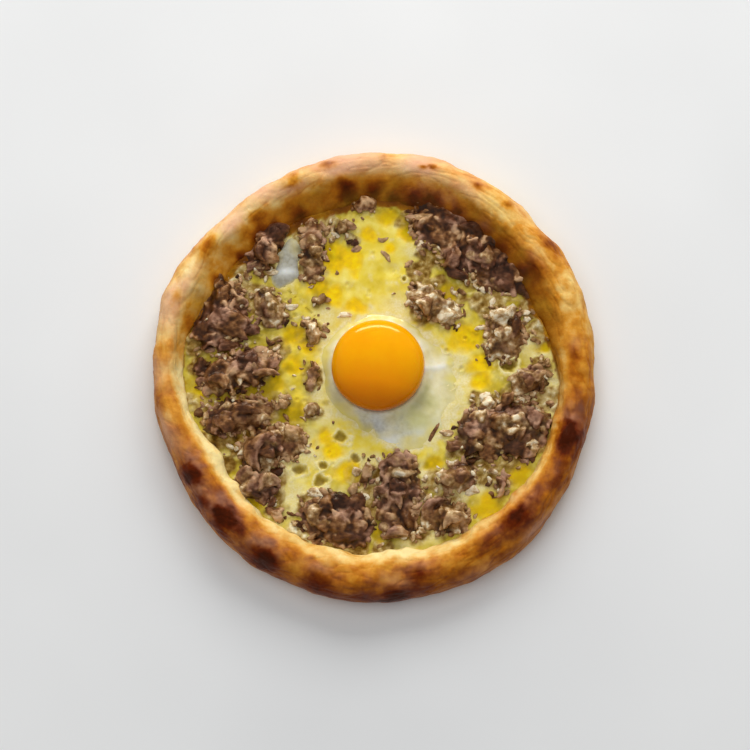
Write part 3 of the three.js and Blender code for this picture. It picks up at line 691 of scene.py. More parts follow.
def meat_material():
    paint = Paint("chopped_meat")
    cloud = paint.speckle(3.2, 5)
    fibre = paint.speckle(0.9, 5, stretch=(0.6, 1.0, 1.0))
    patch = paint.speckle(2.4, 4)
    grain = paint.speckle(0.35, 3)
    shade = paint.plus(paint.sum(paint.mask("tone"), (cloud, 0.5), (fibre, 0.4)), -0.4)
    brown = [(0.1, "#220a03"), (0.3, "#43200a"), (0.5, "#6d421f"), (0.7, "#9b6d42"), (0.9, "#d2a97e")]
    plum = [(0.1, "#260b05"), (0.5, "#69402e"), (0.9, "#c0937c")]
    purple = paint.range(paint.speckle(15, 2), 0.45, 0.6, 0, 0.8)
    meat = paint.mix(purple, paint.ramp(shade, brown), paint.ramp(shade, plum))
    # Painted shade, near black, in crevices and hollows
    meat = paint.laid("crevice_shade", 0.85, meat, "#220b03")
    film = paint.range(paint.sum(paint.mask("film"), (cloud, 0.5)), 0.35, 1.05, 0, 0.95)
    # The cheese coat, from thin and brown to thick and pale; its whitest tones are partly painted
    # highlights
    shine = paint.plus(paint.sum(paint.mask("film"), (patch, 1.9)), -1.05)
    coat = [
        (0.1, "#50340f"), (0.35, "#83602f"), (0.55, "#ab8759"), (0.75, "#cfb183"), (0.95, "#f0e2c2"),
    ]
    meat = paint.mix(film, meat, paint.ramp(shine, coat))
    meat_rise = paint.bump(fibre, 0.5, paint.range(film, 0, 1, 0.5, 0.12))
    rise = paint.bump(grain, 0.15, paint.range(film, 0, 1, 0.5, 0.1), meat_rise)
    return paint.finish(
        Base_Color=meat,
        Roughness=paint.range(film, 0, 1, 0.38, 0.24),
        Specular_IOR_Level=0.8,
        Specular_Tint=(1.0, 0.75, 0.55, 1),
        Normal=rise,
        Subsurface_Weight=0.05,
        Subsurface_Radius=(1.0, 0.4, 0.25),
        Subsurface_Scale=0.002,
        Coat_Weight=0.08,
        Coat_Roughness=0.1,
    )


# Crust


def rim_grid(crust):
    """Points of the crust's rim round its section, read from the solid and smoothed."""
    angles = directions(CRUST_AROUND)
    # From straight down at -90 degrees, over the outer side at 0 and the crest at 90, to the inner side
    sections = np.radians(np.concatenate([np.linspace(-90, -24, 15), np.linspace(-20, 200, 92)]))
    out = np.column_stack([np.cos(angles), np.sin(angles)])
    middles = []
    for c, s in out:
        far, near = Vector((OUTSIDE * c, OUTSIDE * s, 0)), Vector((INSIDE * c, INSIDE * s, 0))
        outer = crust.ray_cast(far + Vector((0, 0, RIM_MIDDLE_HEIGHT)), Vector((-c, -s, 0)))[3]
        inner = crust.ray_cast(near + Vector((0, 0, CHEESE_LEVEL + 2)), Vector((c, s, 0)))[3]
        middles.append((OUTSIDE - outer + INSIDE + inner) / 2)
    middles = blurred(np.array(middles), 6, 0, wrap=True)
    reach = np.empty((len(angles), len(sections)))
    for i, (c, s) in enumerate(out):
        start = Vector((middles[i] * c, middles[i] * s, RIM_MIDDLE_HEIGHT))
        for k, section in enumerate(sections):
            across = math.cos(section)
            way = Vector((across * c, across * s, math.sin(section)))
            reach[i, k] = crust.ray_cast(start, way)[3]
    reach = blurred(blurred(reach, 4, 0, wrap=True), 3.5, 1)
    radius = middles[:, None] + reach * np.cos(sections)
    height = RIM_MIDDLE_HEIGHT + reach * np.sin(sections)
    return angles, sections, np.stack([radius * out[:, :1], radius * out[:, 1:], height], axis=2)


def grid_normals(points):
    """Unit normals of a grid of points that closes on itself along its first axis."""
    along = np.roll(points, -1, 0) - np.roll(points, 1, 0)
    across = np.gradient(points, axis=1)
    normal = np.cross(along, across)
    return normal / np.linalg.norm(normal, axis=2)[:, :, None]


def spot_map(points, behind=0.0):
    """How strongly the brown spots, or the places behind them, cover each point of the rim."""
    total = np.zeros(len(points))
    ragged = 1 + layers(points, (0.45, 4.5, 5), (0.25, 1.6, 6))
    for degrees, radius, size, strength in RIM_SPOTS:
        angle = math.radians(degrees)
        dx = points[:, 0] - radius * math.cos(angle)
        dy = points[:, 1] - radius * math.sin(angle) - behind
        along = -dx * math.sin(angle) + dy * math.cos(angle)
        across = dx * math.cos(angle) + dy * math.sin(angle)
        distance = np.hypot(0.85 * along, 1.3 * across) * ragged
        dark = strength * bell(distance, 0.7 * size)
        total = np.maximum(total, dark + 0.35 * strength * bell(distance, 1.5 * size) * (1 - dark))
    return total * smoothstep(points[:, 2], 8, 12)


def slope_width(angle):
    """How far the foot of the inner wall reaches in: most at the back, nothing in front."""
    back = smoothstep(np.sin(angle), 0.0, 0.6)
    right = smoothstep(np.cos(angle), 0.2, 0.8)
    return 8.5 * back * (1 - 0.35 * right)


def build_crust(material):
    angles, sections, points = rim_grid(surface("crust"))
    normals = grid_normals(points)
    flat = points.reshape(-1, 3)
    # For each point its direction from the middle, and its place round the rim's section in degrees
    a = np.repeat(angles, len(sections))
    s = np.tile(np.degrees(sections), len(angles))
    free = smoothstep(s, -80, -55) * (1 - smoothstep(s, 176, 190))
    upper = smoothstep(s, -10, 25) * (1 - smoothstep(s, 150, 176))
    inward = smoothstep(s, 120, 142) * (1 - smoothstep(s, 172, 184))
    front = smoothstep(-np.sin(a), -0.2, 0.45)
    spots = spot_map(flat)

    def facing(degrees, width):
        """How near each point lies to a direction from the middle, from 0 to 1."""
        return bell(np.mod(np.degrees(a) - degrees + 180, 360) - 180, width)

    # Form: soft lumps, blisters and creases, the lip over the filling, its folds and the inner slope
    rim = np.column_stack([RIM_RADIUS * np.cos(a), RIM_RADIUS * np.sin(a), 0.25 * s])
    streaks = noise(rim * (1, 1, 2.4), 11, 12)
    soft = layers(flat, (0.9, 14, 1), (0.42, 6, 2), (0.12, 2.4, 3))
    crease = np.clip(1 - np.abs(streaks) * 5, 0, 1) ** 2
    blister = np.clip(noise(flat, 4.2, 8) - 0.4, 0, 1) ** 0.7
    blister *= smoothstep(noise(flat, 24, 9), -0.1, 0.4)
    waves = 1.1 * noise(flat * (1, 1, 0.4), 9, 10) + 0.5 * noise(flat, 3.5, 11)
    lip = inward * (0.25 + 0.75 * front) * (0.4 + waves)
    fold = np.zeros(len(flat))
    for degrees, width, rise in RIM_FOLDS:
        fold += rise * facing(degrees, width) * bell(s - 150, 18)
    shift = free * (soft + upper * (0.9 * blister - 0.35 * crease) + 0.6 * spots * upper) + lip + fold
    flat = flat + (normals.reshape(-1, 3) * shift[:, None])
    height_share = smoothstep(flat[:, 2], 10, 19)
    slope = slope_width(a) * (1 - height_share) * smoothstep(s, 95, 125)
    slope *= 1 + 0.12 * noise(flat, 12, 4)
    flat[:, :2] *= 1 - (slope / np.hypot(flat[:, 0], flat[:, 1]))[:, None]
    flat[:, 2] = np.maximum(flat[:, 2], 0)
    flat[s < -84, 2] = 0

    # How far each place is baked, with painted light and shade in the tones
    back = smoothstep(np.sin(a), -0.2, 0.6)
    right = smoothstep(np.cos(a), 0.2, 0.9)
    left = smoothstep(-np.cos(a), 0.3, 0.9)
    onto_wall = smoothstep(s, 98, 132)
    # Painted light: the outer wall straight in front is darker, as painted shade, and the back paler, as
    # painted sheen
    outer_tone = 0.42 + 0.08 * front + 0.2 * facing(-88, 26) - 0.12 * back
    crest_tone = 0.36 + 0.08 * front + 0.18 * right * (1 - back) - 0.12 * back
    crest_tone -= 0.12 * left * (1 - front)
    crest_tone += 0.2 * facing(-140, 20) - 0.2 * facing(130, 18) + 0.07 * facing(38, 16)
    crest_tone -= 0.08 * facing(178, 14)
    # The back's inner wall is darker, as painted shade; the lip in front at the left paler, partly less
    # baked and partly painted light
    inner_tone = 0.14 + 0.2 * right * (1 - front) + back * (0.46 - 0.28 * height_share)
    inner_tone -= 0.16 * left * front + 0.12 * facing(176, 16)
    bake = outer_tone + (crest_tone - outer_tone) * smoothstep(s, 25, 85)
    bake += (inner_tone - crest_tone) * onto_wall
    bake -= 0.16 * (1 - smoothstep(s, -35, -5))
    bake += layers(flat, (0.1, 26, 20), (0.1, 3.5, 22)) + 0.14 * noise(rim * (1, 1, 1.6), 9, 21)
    bake -= 0.22 * facing(-81, 8) * bell(s - 145, 22) + 0.16 * facing(142, 20) * onto_wall
    bake += 0.14 * blister + 0.55 * spots + 0.06 * crease
    ragged = 1 + 0.4 * noise(flat, 5, 29)
    # Painted shade and baked brown at the dark places of the back wall
    wall_dark = np.max([bell(away(flat, x, y) * ragged, size) for x, y, size in WALL_BURN_AND_SHADE], axis=0)
    bake += 0.6 * wall_dark * smoothstep(s, 108, 130) * (1 - 0.8 * height_share)
    bake = np.where(s < -60, 0.5 + layers(flat, (0.2, 14, 23), (0.1, 5, 24)), bake)

    # Oil on the inner wall, at the back also painted shade, and a pinkish painted sheen on the back, on
    # some outer sides and behind the brown spots
    oil_and_shade = smoothstep(s + 9 * noise(flat, 9, 28), 104, 130) * back * (0.75 + 0.5 * noise(flat, 10, 25))
    oil_and_shade *= (1 - 0.8 * wall_dark) * (1 - 0.35 * facing(142, 20)) * (1 - 0.85 * spots)
    oil_and_shade += 0.5 * smoothstep(s, 122, 150) * right * (1 - back)
    painted_sheen = back * (1 - right) * smoothstep(s, -10, 40) * (1 - smoothstep(s, 95, 125))
    side_sheen = facing(-168, 14) + 0.8 * facing(-138, 8) + 0.6 * facing(168, 12)
    painted_sheen += 0.7 * side_sheen * bell(s - 62, 26) + 0.5 * facing(-50, 14) * bell(s - 30, 22)
    painted_sheen *= smoothstep(noise(flat, 18, 26), -0.6, 0.4)
    # Painted highlight on the side of each brown spot that faces the light behind
    sheen = 0.6 * spot_map(flat, SPOT_SHEEN) * (0.7 + 0.6 * noise(flat, 4, 27)) * (1 - 0.4 * back)
    painted_sheen = np.maximum(painted_sheen, sheen) * (1 - smoothstep(spots, 0.1, 0.6))

    # Rows of points from the middle of the underside, round the rim, to the middle of the floor
    rim_rows = list(flat.reshape(len(angles), len(sections), 3).transpose(1, 0, 2))
    under = [rim_rows[0] * (share, share, 0) for share in (0.12, 0.3, 0.5, 0.68, 0.82, 0.93)]
    for row in under:
        row[:, 2] = np.clip(0.5 * noise(row, 9, 27), 0, 0.4)
    floor = [rim_rows[-1] * (share, share, 0) + (0, 0, FLOOR_HEIGHT) for share in (0.96, 0.6, 0.25)]
    corners, faces = closed_rows(under + rim_rows + floor, (0, 0, 0), (0, 0, FLOOR_HEIGHT))
    lower = corners[: 1 + len(under) * len(angles)]
    under_bake = 0.48 + layers(lower, (0.22, 14, 23), (0.14, 5, 24))

    def spread(on_rim, on_underside, on_floor):
        """A mask for all corners, from its values on the rim and above and below it."""
        table = on_rim.reshape(len(angles), len(sections)).T.ravel()
        hidden = np.full(len(floor) * len(angles) + 1, on_floor)
        return np.clip(np.concatenate([on_underside, table, hidden]), 0, 1)

    masks = {
        "bake": spread(bake, under_bake, 0.2),
        "oil_and_shade": spread(oil_and_shade, np.zeros(len(lower)), 0),
        "painted_sheen": spread(painted_sheen, np.zeros(len(lower)), 0),
    }
    make_piece("crust_dressed", corners, faces, material, masks, ["crust"])
    return tree_of(corners, faces)


# Cheese


def disc_grid(side):
    """A square grid laid on the unit disc: share of the radius and direction of each point."""
    u, v = np.meshgrid(np.linspace(-1, 1, side), np.linspace(-1, 1, side), indexing="ij")
    share = np.maximum(np.abs(u), np.abs(v))
    wide = np.abs(u) >= np.abs(v)
    under = np.where(share == 0, 1, np.where(wide, u, v))
    bent = math.pi / 4 * np.where(wide, v, u) / under
    along_x = np.where(u >= 0, 0, math.pi) + bent
    along_y = np.where(v >= 0, 0.5, -0.5) * math.pi - bent
    angle = np.where(wide, along_x, along_y)
    return share, np.mod(angle, 2 * math.pi)


def wall_radii(crust_tree, height):
    """Distance from the middle to the dressed crust's inner wall, for each of many directions."""
    angles = directions(WALL_AROUND)
    radii = []
    for c, s in zip(np.cos(angles), np.sin(angles)):
        start = Vector((INSIDE_WALL * c, INSIDE_WALL * s, height))
        radii.append(INSIDE_WALL + crust_tree.ray_cast(start, Vector((c, s, 0)))[3])
    return closed_ring(angles, radii)


def square_faces(side):
    """Triangles of a square grid of points, seen anticlockwise from above."""
    i, j = np.meshgrid(np.arange(side - 1), np.arange(side - 1), indexing="ij")
    a = (i * side + j).ravel()
    return quad_faces(a, a + side, a + side + 1, a + 1)


def border(side):
    """Corners along the edge of a square grid, anticlockwise from above."""
    there = np.arange(side - 1)
    back = side - 1 - there
    return np.concatenate([there * side, (side - 1) * side + there, back * side + side - 1, back])


class Filling:
    """Tables over the bread that the cheese and the toppings share."""

    def __init__(self):
        self.chart = Chart()
        x, y = self.chart.x, self.chart.y
        level = top_at(surface("cheese"), x, y)
        level = np.where(np.isnan(level), CHEESE_LEVEL + 0.6, level)
        self.level = self.chart.blur(level, 1.6)
        self.meat = surface(*[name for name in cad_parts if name.startswith("meat")])
        covered = ~np.isnan(top_at(self.meat, x, y))
        self.near_meat = self.chart.blur(covered.astype(float), 3.4)
        self.among_meat = self.chart.blur(covered.astype(float), 9)
        white = ~np.isnan(top_at(surface("egg_white", "egg_white_patch"), x, y))
        self.near_white = self.chart.blur(white.astype(float), 3.2)

    def level_at(self, points):
        return self.chart.read(self.level, points[:, 0], points[:, 1])

    def heights(self, x, y):
        """Top of the cheese at places on the bread, with its lumps, pools and pits."""
        points = flat_points(x, y)
        butter = self.butter(points)
        calm = 1 - 0.8 * butter
        swell = layers(points, (0.6, 9, 30), (0.22, 4, 31), (0.05, 1.7, 32))
        rise = self.sauce(points) * (0.5 + 0.9 * self.lumps(points))
        return self.level_at(points) + calm * (swell + rise) - 0.35 * butter + self.bubbles(points)

    def height(self, x, y):
        return float(self.heights([x], [y])[0])

    def sauce(self, points):
        """Where the cheese is mixed with sauce and small meat, with a little painted shadow by the rim,
        from 0 to 1.
        """
        near = 1.5 * self.chart.read(self.near_meat, points[:, 0], points[:, 1])
        for x, y, size, _ in SAUCE_AND_SHADOW:
            near = np.maximum(near, 1 - smoothstep(away(points, x, y), 0.45 * size, 1.25 * size))
        ragged = layers(points, (0.4, 6, 37), (0.35, 2.8, 38))
        return smoothstep(near + ragged, 0.3, 0.75)

    def sauce_tone(self, points):
        """How light the sauce is, from 0 to 1."""
        total = np.full(len(points), 0.08)
        light = 0.45 * total
        for x, y, size, tone in SAUCE_AND_SHADOW:
            weight = bell(away(points, x, y), size)
            total += weight
            light += tone * weight
        return light / total

    def lumps(self, points):
        return layers(points, (0.8, 3.0, 33), (0.45, 1.5, 39))

    def butter(self, points):
        total = np.zeros(len(points))
        ragged = 1 + layers(points, (0.6, 6.5, 34), (0.2, 2.4, 35))
        for x, y, size in BUTTER:
            distance = away(points, x, y) * ragged
            total = np.maximum(total, 1 - smoothstep(distance, 0.5 * size, 1.4 * size))
        return total

    def pit_distances(self, points):
        """How far points are from each pit's middle, in half-sizes: a pit is wider than it is long."""
        ragged = 1 + layers(points, (0.5, 3.2, 44), (0.2, 1.4, 45))
        return [
            np.hypot(points[:, 0] - x, (points[:, 1] - y) * 1.12) / size * ragged for x, y, size in PITS
        ]

    def pits(self, points):
        return np.max([1 - smoothstep(far, 0.5, 0.95) for far in self.pit_distances(points)], axis=0)

    def pit_rims(self, points):
        return np.max([bell(far - 1.2, 0.3) for far in self.pit_distances(points)], axis=0)

    def bubbles(self, points):
        """Pits with a low ring round each, and many small ones."""
        rise = np.zeros(len(points))
        for distance in self.pit_distances(points):
            rise += 0.5 * bell(distance - 1.1, 0.3) - 1.4 * (1 - smoothstep(distance, 0.35, 0.98))
        dice = np.random.default_rng(BUBBLE_SEED)
        for _ in range(SMALL_BUBBLES):
            angle, far = dice.uniform(0, 2 * math.pi), FILLING_RADIUS * math.sqrt(dice.uniform())
            size = dice.uniform(0.6, 1.4)
            x, y = far * math.cos(angle), far * math.sin(angle)
            near = np.nonzero((np.abs(points[:, 0] - x) < 4) & (np.abs(points[:, 1] - y) < 4))[0]
            distance = away(points[near], x, y) / size
            rise[near] += 0.2 * bell(distance - 1.1, 0.35) - 0.6 * (1 - smoothstep(distance, 0.2, 1.0))
        return rise


def build_cheese(material, filling, crust_tree):
    angles, radii = wall_radii(crust_tree, CHEESE_LEVEL + 0.8)
    share, angle = (table.ravel() for table in disc_grid(CHEESE_SIDE))
    wall = np.interp(angle, angles, radii) + 0.4
    radius = share * wall
    x, y = radius * np.cos(angle), radius * np.sin(angle)
    points = flat_points(x, y)
    to_wall = wall - radius
    climb = 0.9 * bell(to_wall, 2.0) * (1 + 0.5 * noise(points, 6, 36))
    top = np.column_stack([x, y, filling.heights(x, y) + climb])

    edge = border(CHEESE_SIDE)
    skirt = top[edge] * (0.985, 0.985, 0) + (0, 0, CHEESE_UNDERSIDE)
    below = len(top) + np.arange(len(edge))
    below_next = np.roll(below, -1)
    middle = np.full(len(edge), len(top) + len(edge))
    corners = np.vstack([top, skirt, [(0, 0, CHEESE_UNDERSIDE)]])
    sides = quad_faces(edge, below, below_next, np.roll(edge, -1))
    underside = np.column_stack([middle, below_next, below])
    faces = np.vstack([square_faces(CHEESE_SIDE), sides, underside])

    tables = (filling.near_white, filling.near_meat, filling.among_meat)
    near_white, near_meat, among_meat = (filling.chart.read(table, x, y) for table in tables)
    ragged = layers(points, (0.3, 4, 40), (0.15, 1.8, 41))
    back = smoothstep(np.sin(angle), 0.0, 0.7)
    band = 1.0 + 1.6 * back
    butter = filling.butter(points)
    rims = filling.pit_rims(points)
    # Olive near the meat, along the rim and by the back wall: partly the colour of the sauce, partly
    # painted shade
    olive_and_shade = smoothstep(among_meat + 0.4 * ragged, 0.1, 0.38)
    olive_and_shade = np.maximum(olive_and_shade, 0.7 * (1 - smoothstep(to_wall + 5 * ragged, 3, 13)))
    olive_and_shade = np.maximum(olive_and_shade, back * (1 - smoothstep(to_wall + 5 * ragged, band, band + 6)))
    cream = smoothstep(near_white + ragged, 0.05, 0.4) * (1 - butter)
    in_front = 0.8 * smoothstep(noise(points, 11, 43), 0.0, 0.45) * smoothstep(-y, 15, 45)
    cream = np.maximum(cream, in_front)
    for u, v, size in CREAM:
        cream = np.maximum(cream, bell(away(points, u, v), size) + 0.5 * ragged)
    cream = np.maximum(np.clip(cream, 0, 1) * (1 - butter), rims)
    slack = to_wall + layers(points, (1.8, 7, 46), (0.8, 2.5, 47))
    # The band is darker near the meat and at the dark places of the wall, partly as painted shade
    wall_tone = 0.62 + 0.25 * noise(points, 10, 48) - 0.3 * near_meat
    for u, v, size in WALL_BURN_AND_SHADE:
        wall_tone -= 0.35 * bell(away(points, u, v), size)
    shown = {
        "butter": butter,
        "grease": filling.sauce(points) * (1 - 0.75 * butter) * (1 - rims),
        "cream": cream,
        "lump": 0.25 + 0.6 * filling.sauce_tone(points) + 0.4 * filling.lumps(points),
        "olive_and_shade": olive_and_shade * (1 - cream),
        "wall": (1 - smoothstep(slack, 0.8 * band, 1.25 * band)) * smoothstep(np.sin(angle), -0.3, 0.15),
        "wall_tone": np.clip(wall_tone, 0, 1),
        "pit": filling.pits(points),
    }
    hidden = np.zeros(len(corners) - len(top))
    masks = {name: np.append(values, hidden) for name, values in shown.items()}
    make_piece("cheese_dressed", corners, faces, material, masks, ["cheese"])


# Egg


def middle_of(node):
    """The middle of a node's box, seen from above."""
    low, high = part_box(node)
    centre = (low + high) / 2 / MM
    return centre.x, centre.y


def outline(node, x, y, count, reach, *waves):
    """A node's outer edge seen from above, made wavy: directions and distances from a middle."""
    angles = directions(OUTLINE_AROUND)
    steps = np.arange(2, reach, 0.4)
    across = np.outer(np.cos(angles), steps) + x
    along = np.outer(np.sin(angles), steps) + y
    covered = ~np.isnan(top_at(surface(node), across, along))
    radii = np.array([steps[row].max() for row in covered])
    around = directions(count)
    edge = np.interp(around, *closed_ring(angles, blurred(radii, 2.5, 0, wrap=True)))
    ring = flat_points(np.cos(around), np.sin(around)) * edge[:, None]
    return around, edge + layers(ring, *waves)


def polar_cap(x, y, shares, angles, radii, height_at):
    """A closed low cap over an outline, with its top given by height_at(points, share).

    It comes as corners, faces and each corner's share of the way out, from 0 to 1.
    """
    foot = CHEESE_LEVEL - SUNK
    rows = []
    for share in shares:
        radius = share * radii
        row = flat_points(x + radius * np.cos(angles), y + radius * np.sin(angles))
        row[:, 2] = height_at(row, share)
        rows.append(row)
    edge = rows[0] * (1, 1, 0) + (0, 0, foot)
    middle = np.array([[x, y, 0.0]])
    corners, faces = closed_rows([edge, *rows], (x, y, foot), (x, y, float(height_at(middle, 0)[0])))
    outward = np.concatenate([[1], np.ones(len(angles)), np.repeat(shares, len(angles)), [0]])
    return corners, faces, outward


def build_white(material, filling):
    x, y = middle_of("egg_yolk")
    around, edge = outline("egg_white", x, y, WHITE_AROUND, 60, (1.5, 9, 50), (0.9, 3.6, 51))
    edge += 0.8
    edge += 3.0 * bell(np.degrees(around) - 278, 13)  # a lobe in front
    fold_start, fold_end = np.array([21.0, 1.0]), np.array([37.0, 5.5])

    def fold(points):
        """How near points are to the low fold that runs out from the yolk to the right."""
        way = fold_end - fold_start
        along = np.clip((points[:, :2] - fold_start) @ way / (way @ way), 0, 1)
        nearest = fold_start + along[:, None] * way
        return bell(np.hypot(*(points[:, :2] - nearest).T), 1.3)

    def height_at(points, share):
        collar = 2.6 * bell(away(points, x, y) - YOLK_RADIUS, 2.8)
        body = 1.75 * (1 - share**3.2) - 0.25
        flat = points * (1, 1, 0)
        ripple = layers(flat, (0.4, 7, 52), (0.16, 2.6, 53))
        return filling.level_at(points) + body + collar + 0.45 * fold(points) + ripple * (1 - share**8)

    shares = 1 - np.linspace(0, 1, WHITE_ROWS)[:-1] ** 1.35
    corners, faces, outward = polar_cap(x, y, shares, around, edge, height_at)
    flat = corners * (1, 1, 0)
    waver = 1 + layers(flat, (0.35, 6, 54), (0.2, 2.4, 55))

    def blots(*places):
        """Soft blots added up, each by its middle, its size and its strength."""
        each = [much * bell(away(flat, u, v) * waver, size) for u, v, size, much in places]
        return np.clip(sum(each), 0, 1)

    masks = {
        "leaf": blots((18, -22, 9, 1), (24, -12, 6, 0.6), (33, -5, 2.5, 0.6)),
        "pool": blots((0, -23, 7, 1), (14, -29, 6, 0.6), (-24, -4, 9, 0.45), (40, -2, 5, 0.4)),
        "dim": blots((-4, -28, 4, 1), (-18, -15, 5, 0.5), (20, -14, 4, 0.45), (-25, 4, 6, 0.3)),
        # Painted glints on the front of the white and along the fold
        "painted_glint": np.clip(
            blots((5, -33, 4.5, 1), (20, -28, 3.5, 0.5), (1, -21, 3, 0.4)) + 0.7 * fold(corners), 0, 1
        ),
        "rim": smoothstep(outward + 0.12 * noise(flat, 5, 56), 0.8, 1.0) * (1 - blots((5, -34, 7, 1))),
    }
    make_piece("egg_white_dressed", corners, faces, material, masks, ["egg_white"])


def build_white_patch(material, filling):
    x, y = middle_of("egg_white_patch")
    around, edge = outline("egg_white_patch", x, y, PATCH_AROUND, 30, (1.3, 5, 60), (0.5, 2, 63))
    edge += 0.7
    for degrees, width, far in ((231, 20, 4.5), (298, 18, 3.5)):  # two lobes in front
        edge += far * bell(np.degrees(around) - degrees, width)

    def height_at(points, share):
        ripple = 0.35 * noise(points * (1, 1, 0), 4.5, 61)
        return filling.level_at(points) + 1.9 * (1 - share**3) - 0.25 + ripple * (1 - share**6)

    shares = 1 - np.linspace(0, 1, PATCH_ROWS)[:-1] ** 1.2
    corners, faces, outward = polar_cap(x, y, shares, around, edge, height_at)
    flat = corners * (1, 1, 0)
    masks = {
        "leaf": 0.8 * smoothstep(flat[:, 1], 60, 66),
        "pool": smoothstep(noise(flat, 7, 62), -0.6, 0.1),
        "dim": 0.52 + 0.35 * bell(away(flat, -34, 57), 3),
        # A painted glint
        "painted_glint": bell(np.hypot((flat[:, 0] + 39.5) * 0.42, flat[:, 1] - 47), 1.8),
        "rim": 0.6 * smoothstep(outward, 0.85, 1.0),
    }
    make_piece(
        "egg_white_patch_dressed", corners, faces, material, masks, ["egg_white_patch"]
    )


def build_yolk(material):
    x, y = middle_of("egg_yolk")
    low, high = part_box("egg_yolk")
    radius = (high.x - low.x) / 2 / MM
    foot, top = low.z / MM, high.z / MM
    widest = foot + 0.36 * (top - foot)
    tuck = 55  # degrees that the side turns in below the widest ring
    around = directions(YOLK_AROUND)
    ring = flat_points(np.cos(around), np.sin(around))
    rows = []
    for tilt in np.radians(np.linspace(-tuck, 89, YOLK_ROWS)):
        rise = top - widest if tilt > 0 else (widest - foot) / math.sin(math.radians(tuck))
        reach = radius * math.cos(tilt) ** (0.92 if tilt > 0 else 0.5)
        row = ring * (reach, reach, 0) + (x, y, widest + math.sin(tilt) * rise)
        row[:, :2] += ring[:, :2] * (0.25 * noise(row, 16, 70) * math.cos(tilt))[:, None]
        rows.append(row)
    corners, faces = closed_rows(rows, (x, y, foot), (x, y, top))
    across, along, height = (corners - (x, y, 0)).T
    # Painted light: darker in front and towards the foot, as painted shade
    lit = 0.25 + 0.75 * smoothstep(along + 0.1 * np.abs(across) + 0.15 * across, -21, 6)
    painted_light = lit * (0.8 * smoothstep(height, foot - 1, widest + 4) + 0.2)
    make_piece("egg_yolk_dressed", corners, faces, material, {"painted_light": painted_light}, ["egg_yolk"])


# Meat


def ball(subdivisions):
    """Corners and faces of a unit ball of triangles."""
    mesh = bmesh.new()
    bmesh.ops.create_icosphere(mesh, subdivisions=subdivisions, radius=1)
    corners = np.array([vertex.co[:] for vertex in mesh.verts])
    faces = np.array([[vertex.index for vertex in face.verts] for face in mesh.faces])
    mesh.free()
    return corners, faces


BALLS = [(4.4, ball(4)), (1.7, ball(3)), (0, ball(2))]  # from which half-size each ball is used


def turned(points, dice, turn):
    """Points turned at random, or by a given angle about the upright and then a little tilted."""
    a, b, c = dice.uniform(0, 2 * math.pi), dice.normal(0, 0.4), dice.normal(0, 0.3)
    if turn is not None:
        a, b, c = math.radians(turn), 0.4 * b, 0.4 * c
    about_z = np.array([[math.cos(a), -math.sin(a), 0], [math.sin(a), math.cos(a), 0], [0, 0, 1]])
    about_x = np.array([[1, 0, 0], [0, math.cos(b), -math.sin(b)], [0, math.sin(b), math.cos(b)]])
    about_y = np.array([[math.cos(c), 0, math.sin(c)], [0, 1, 0], [-math.sin(c), 0, math.cos(c)]])
    return points @ (about_z @ about_x @ about_y).T


def meat_film(points, coat, up):
    """How much melted cheese lies on meat at each point, from 0 to 1."""
    patches = layers(points, (0.45, 5.5, 90), (0.2, 1.9, 91))
    return np.clip(1.3 * coat - 0.3 + patches + 0.25 * up, 0, 1)


def meat_tone(points):
    """How light the meat is at each point, from 0 to 1."""
    return 0.5 + layers(points, (0.45, 6, 92), (0.3, 2.6, 93))


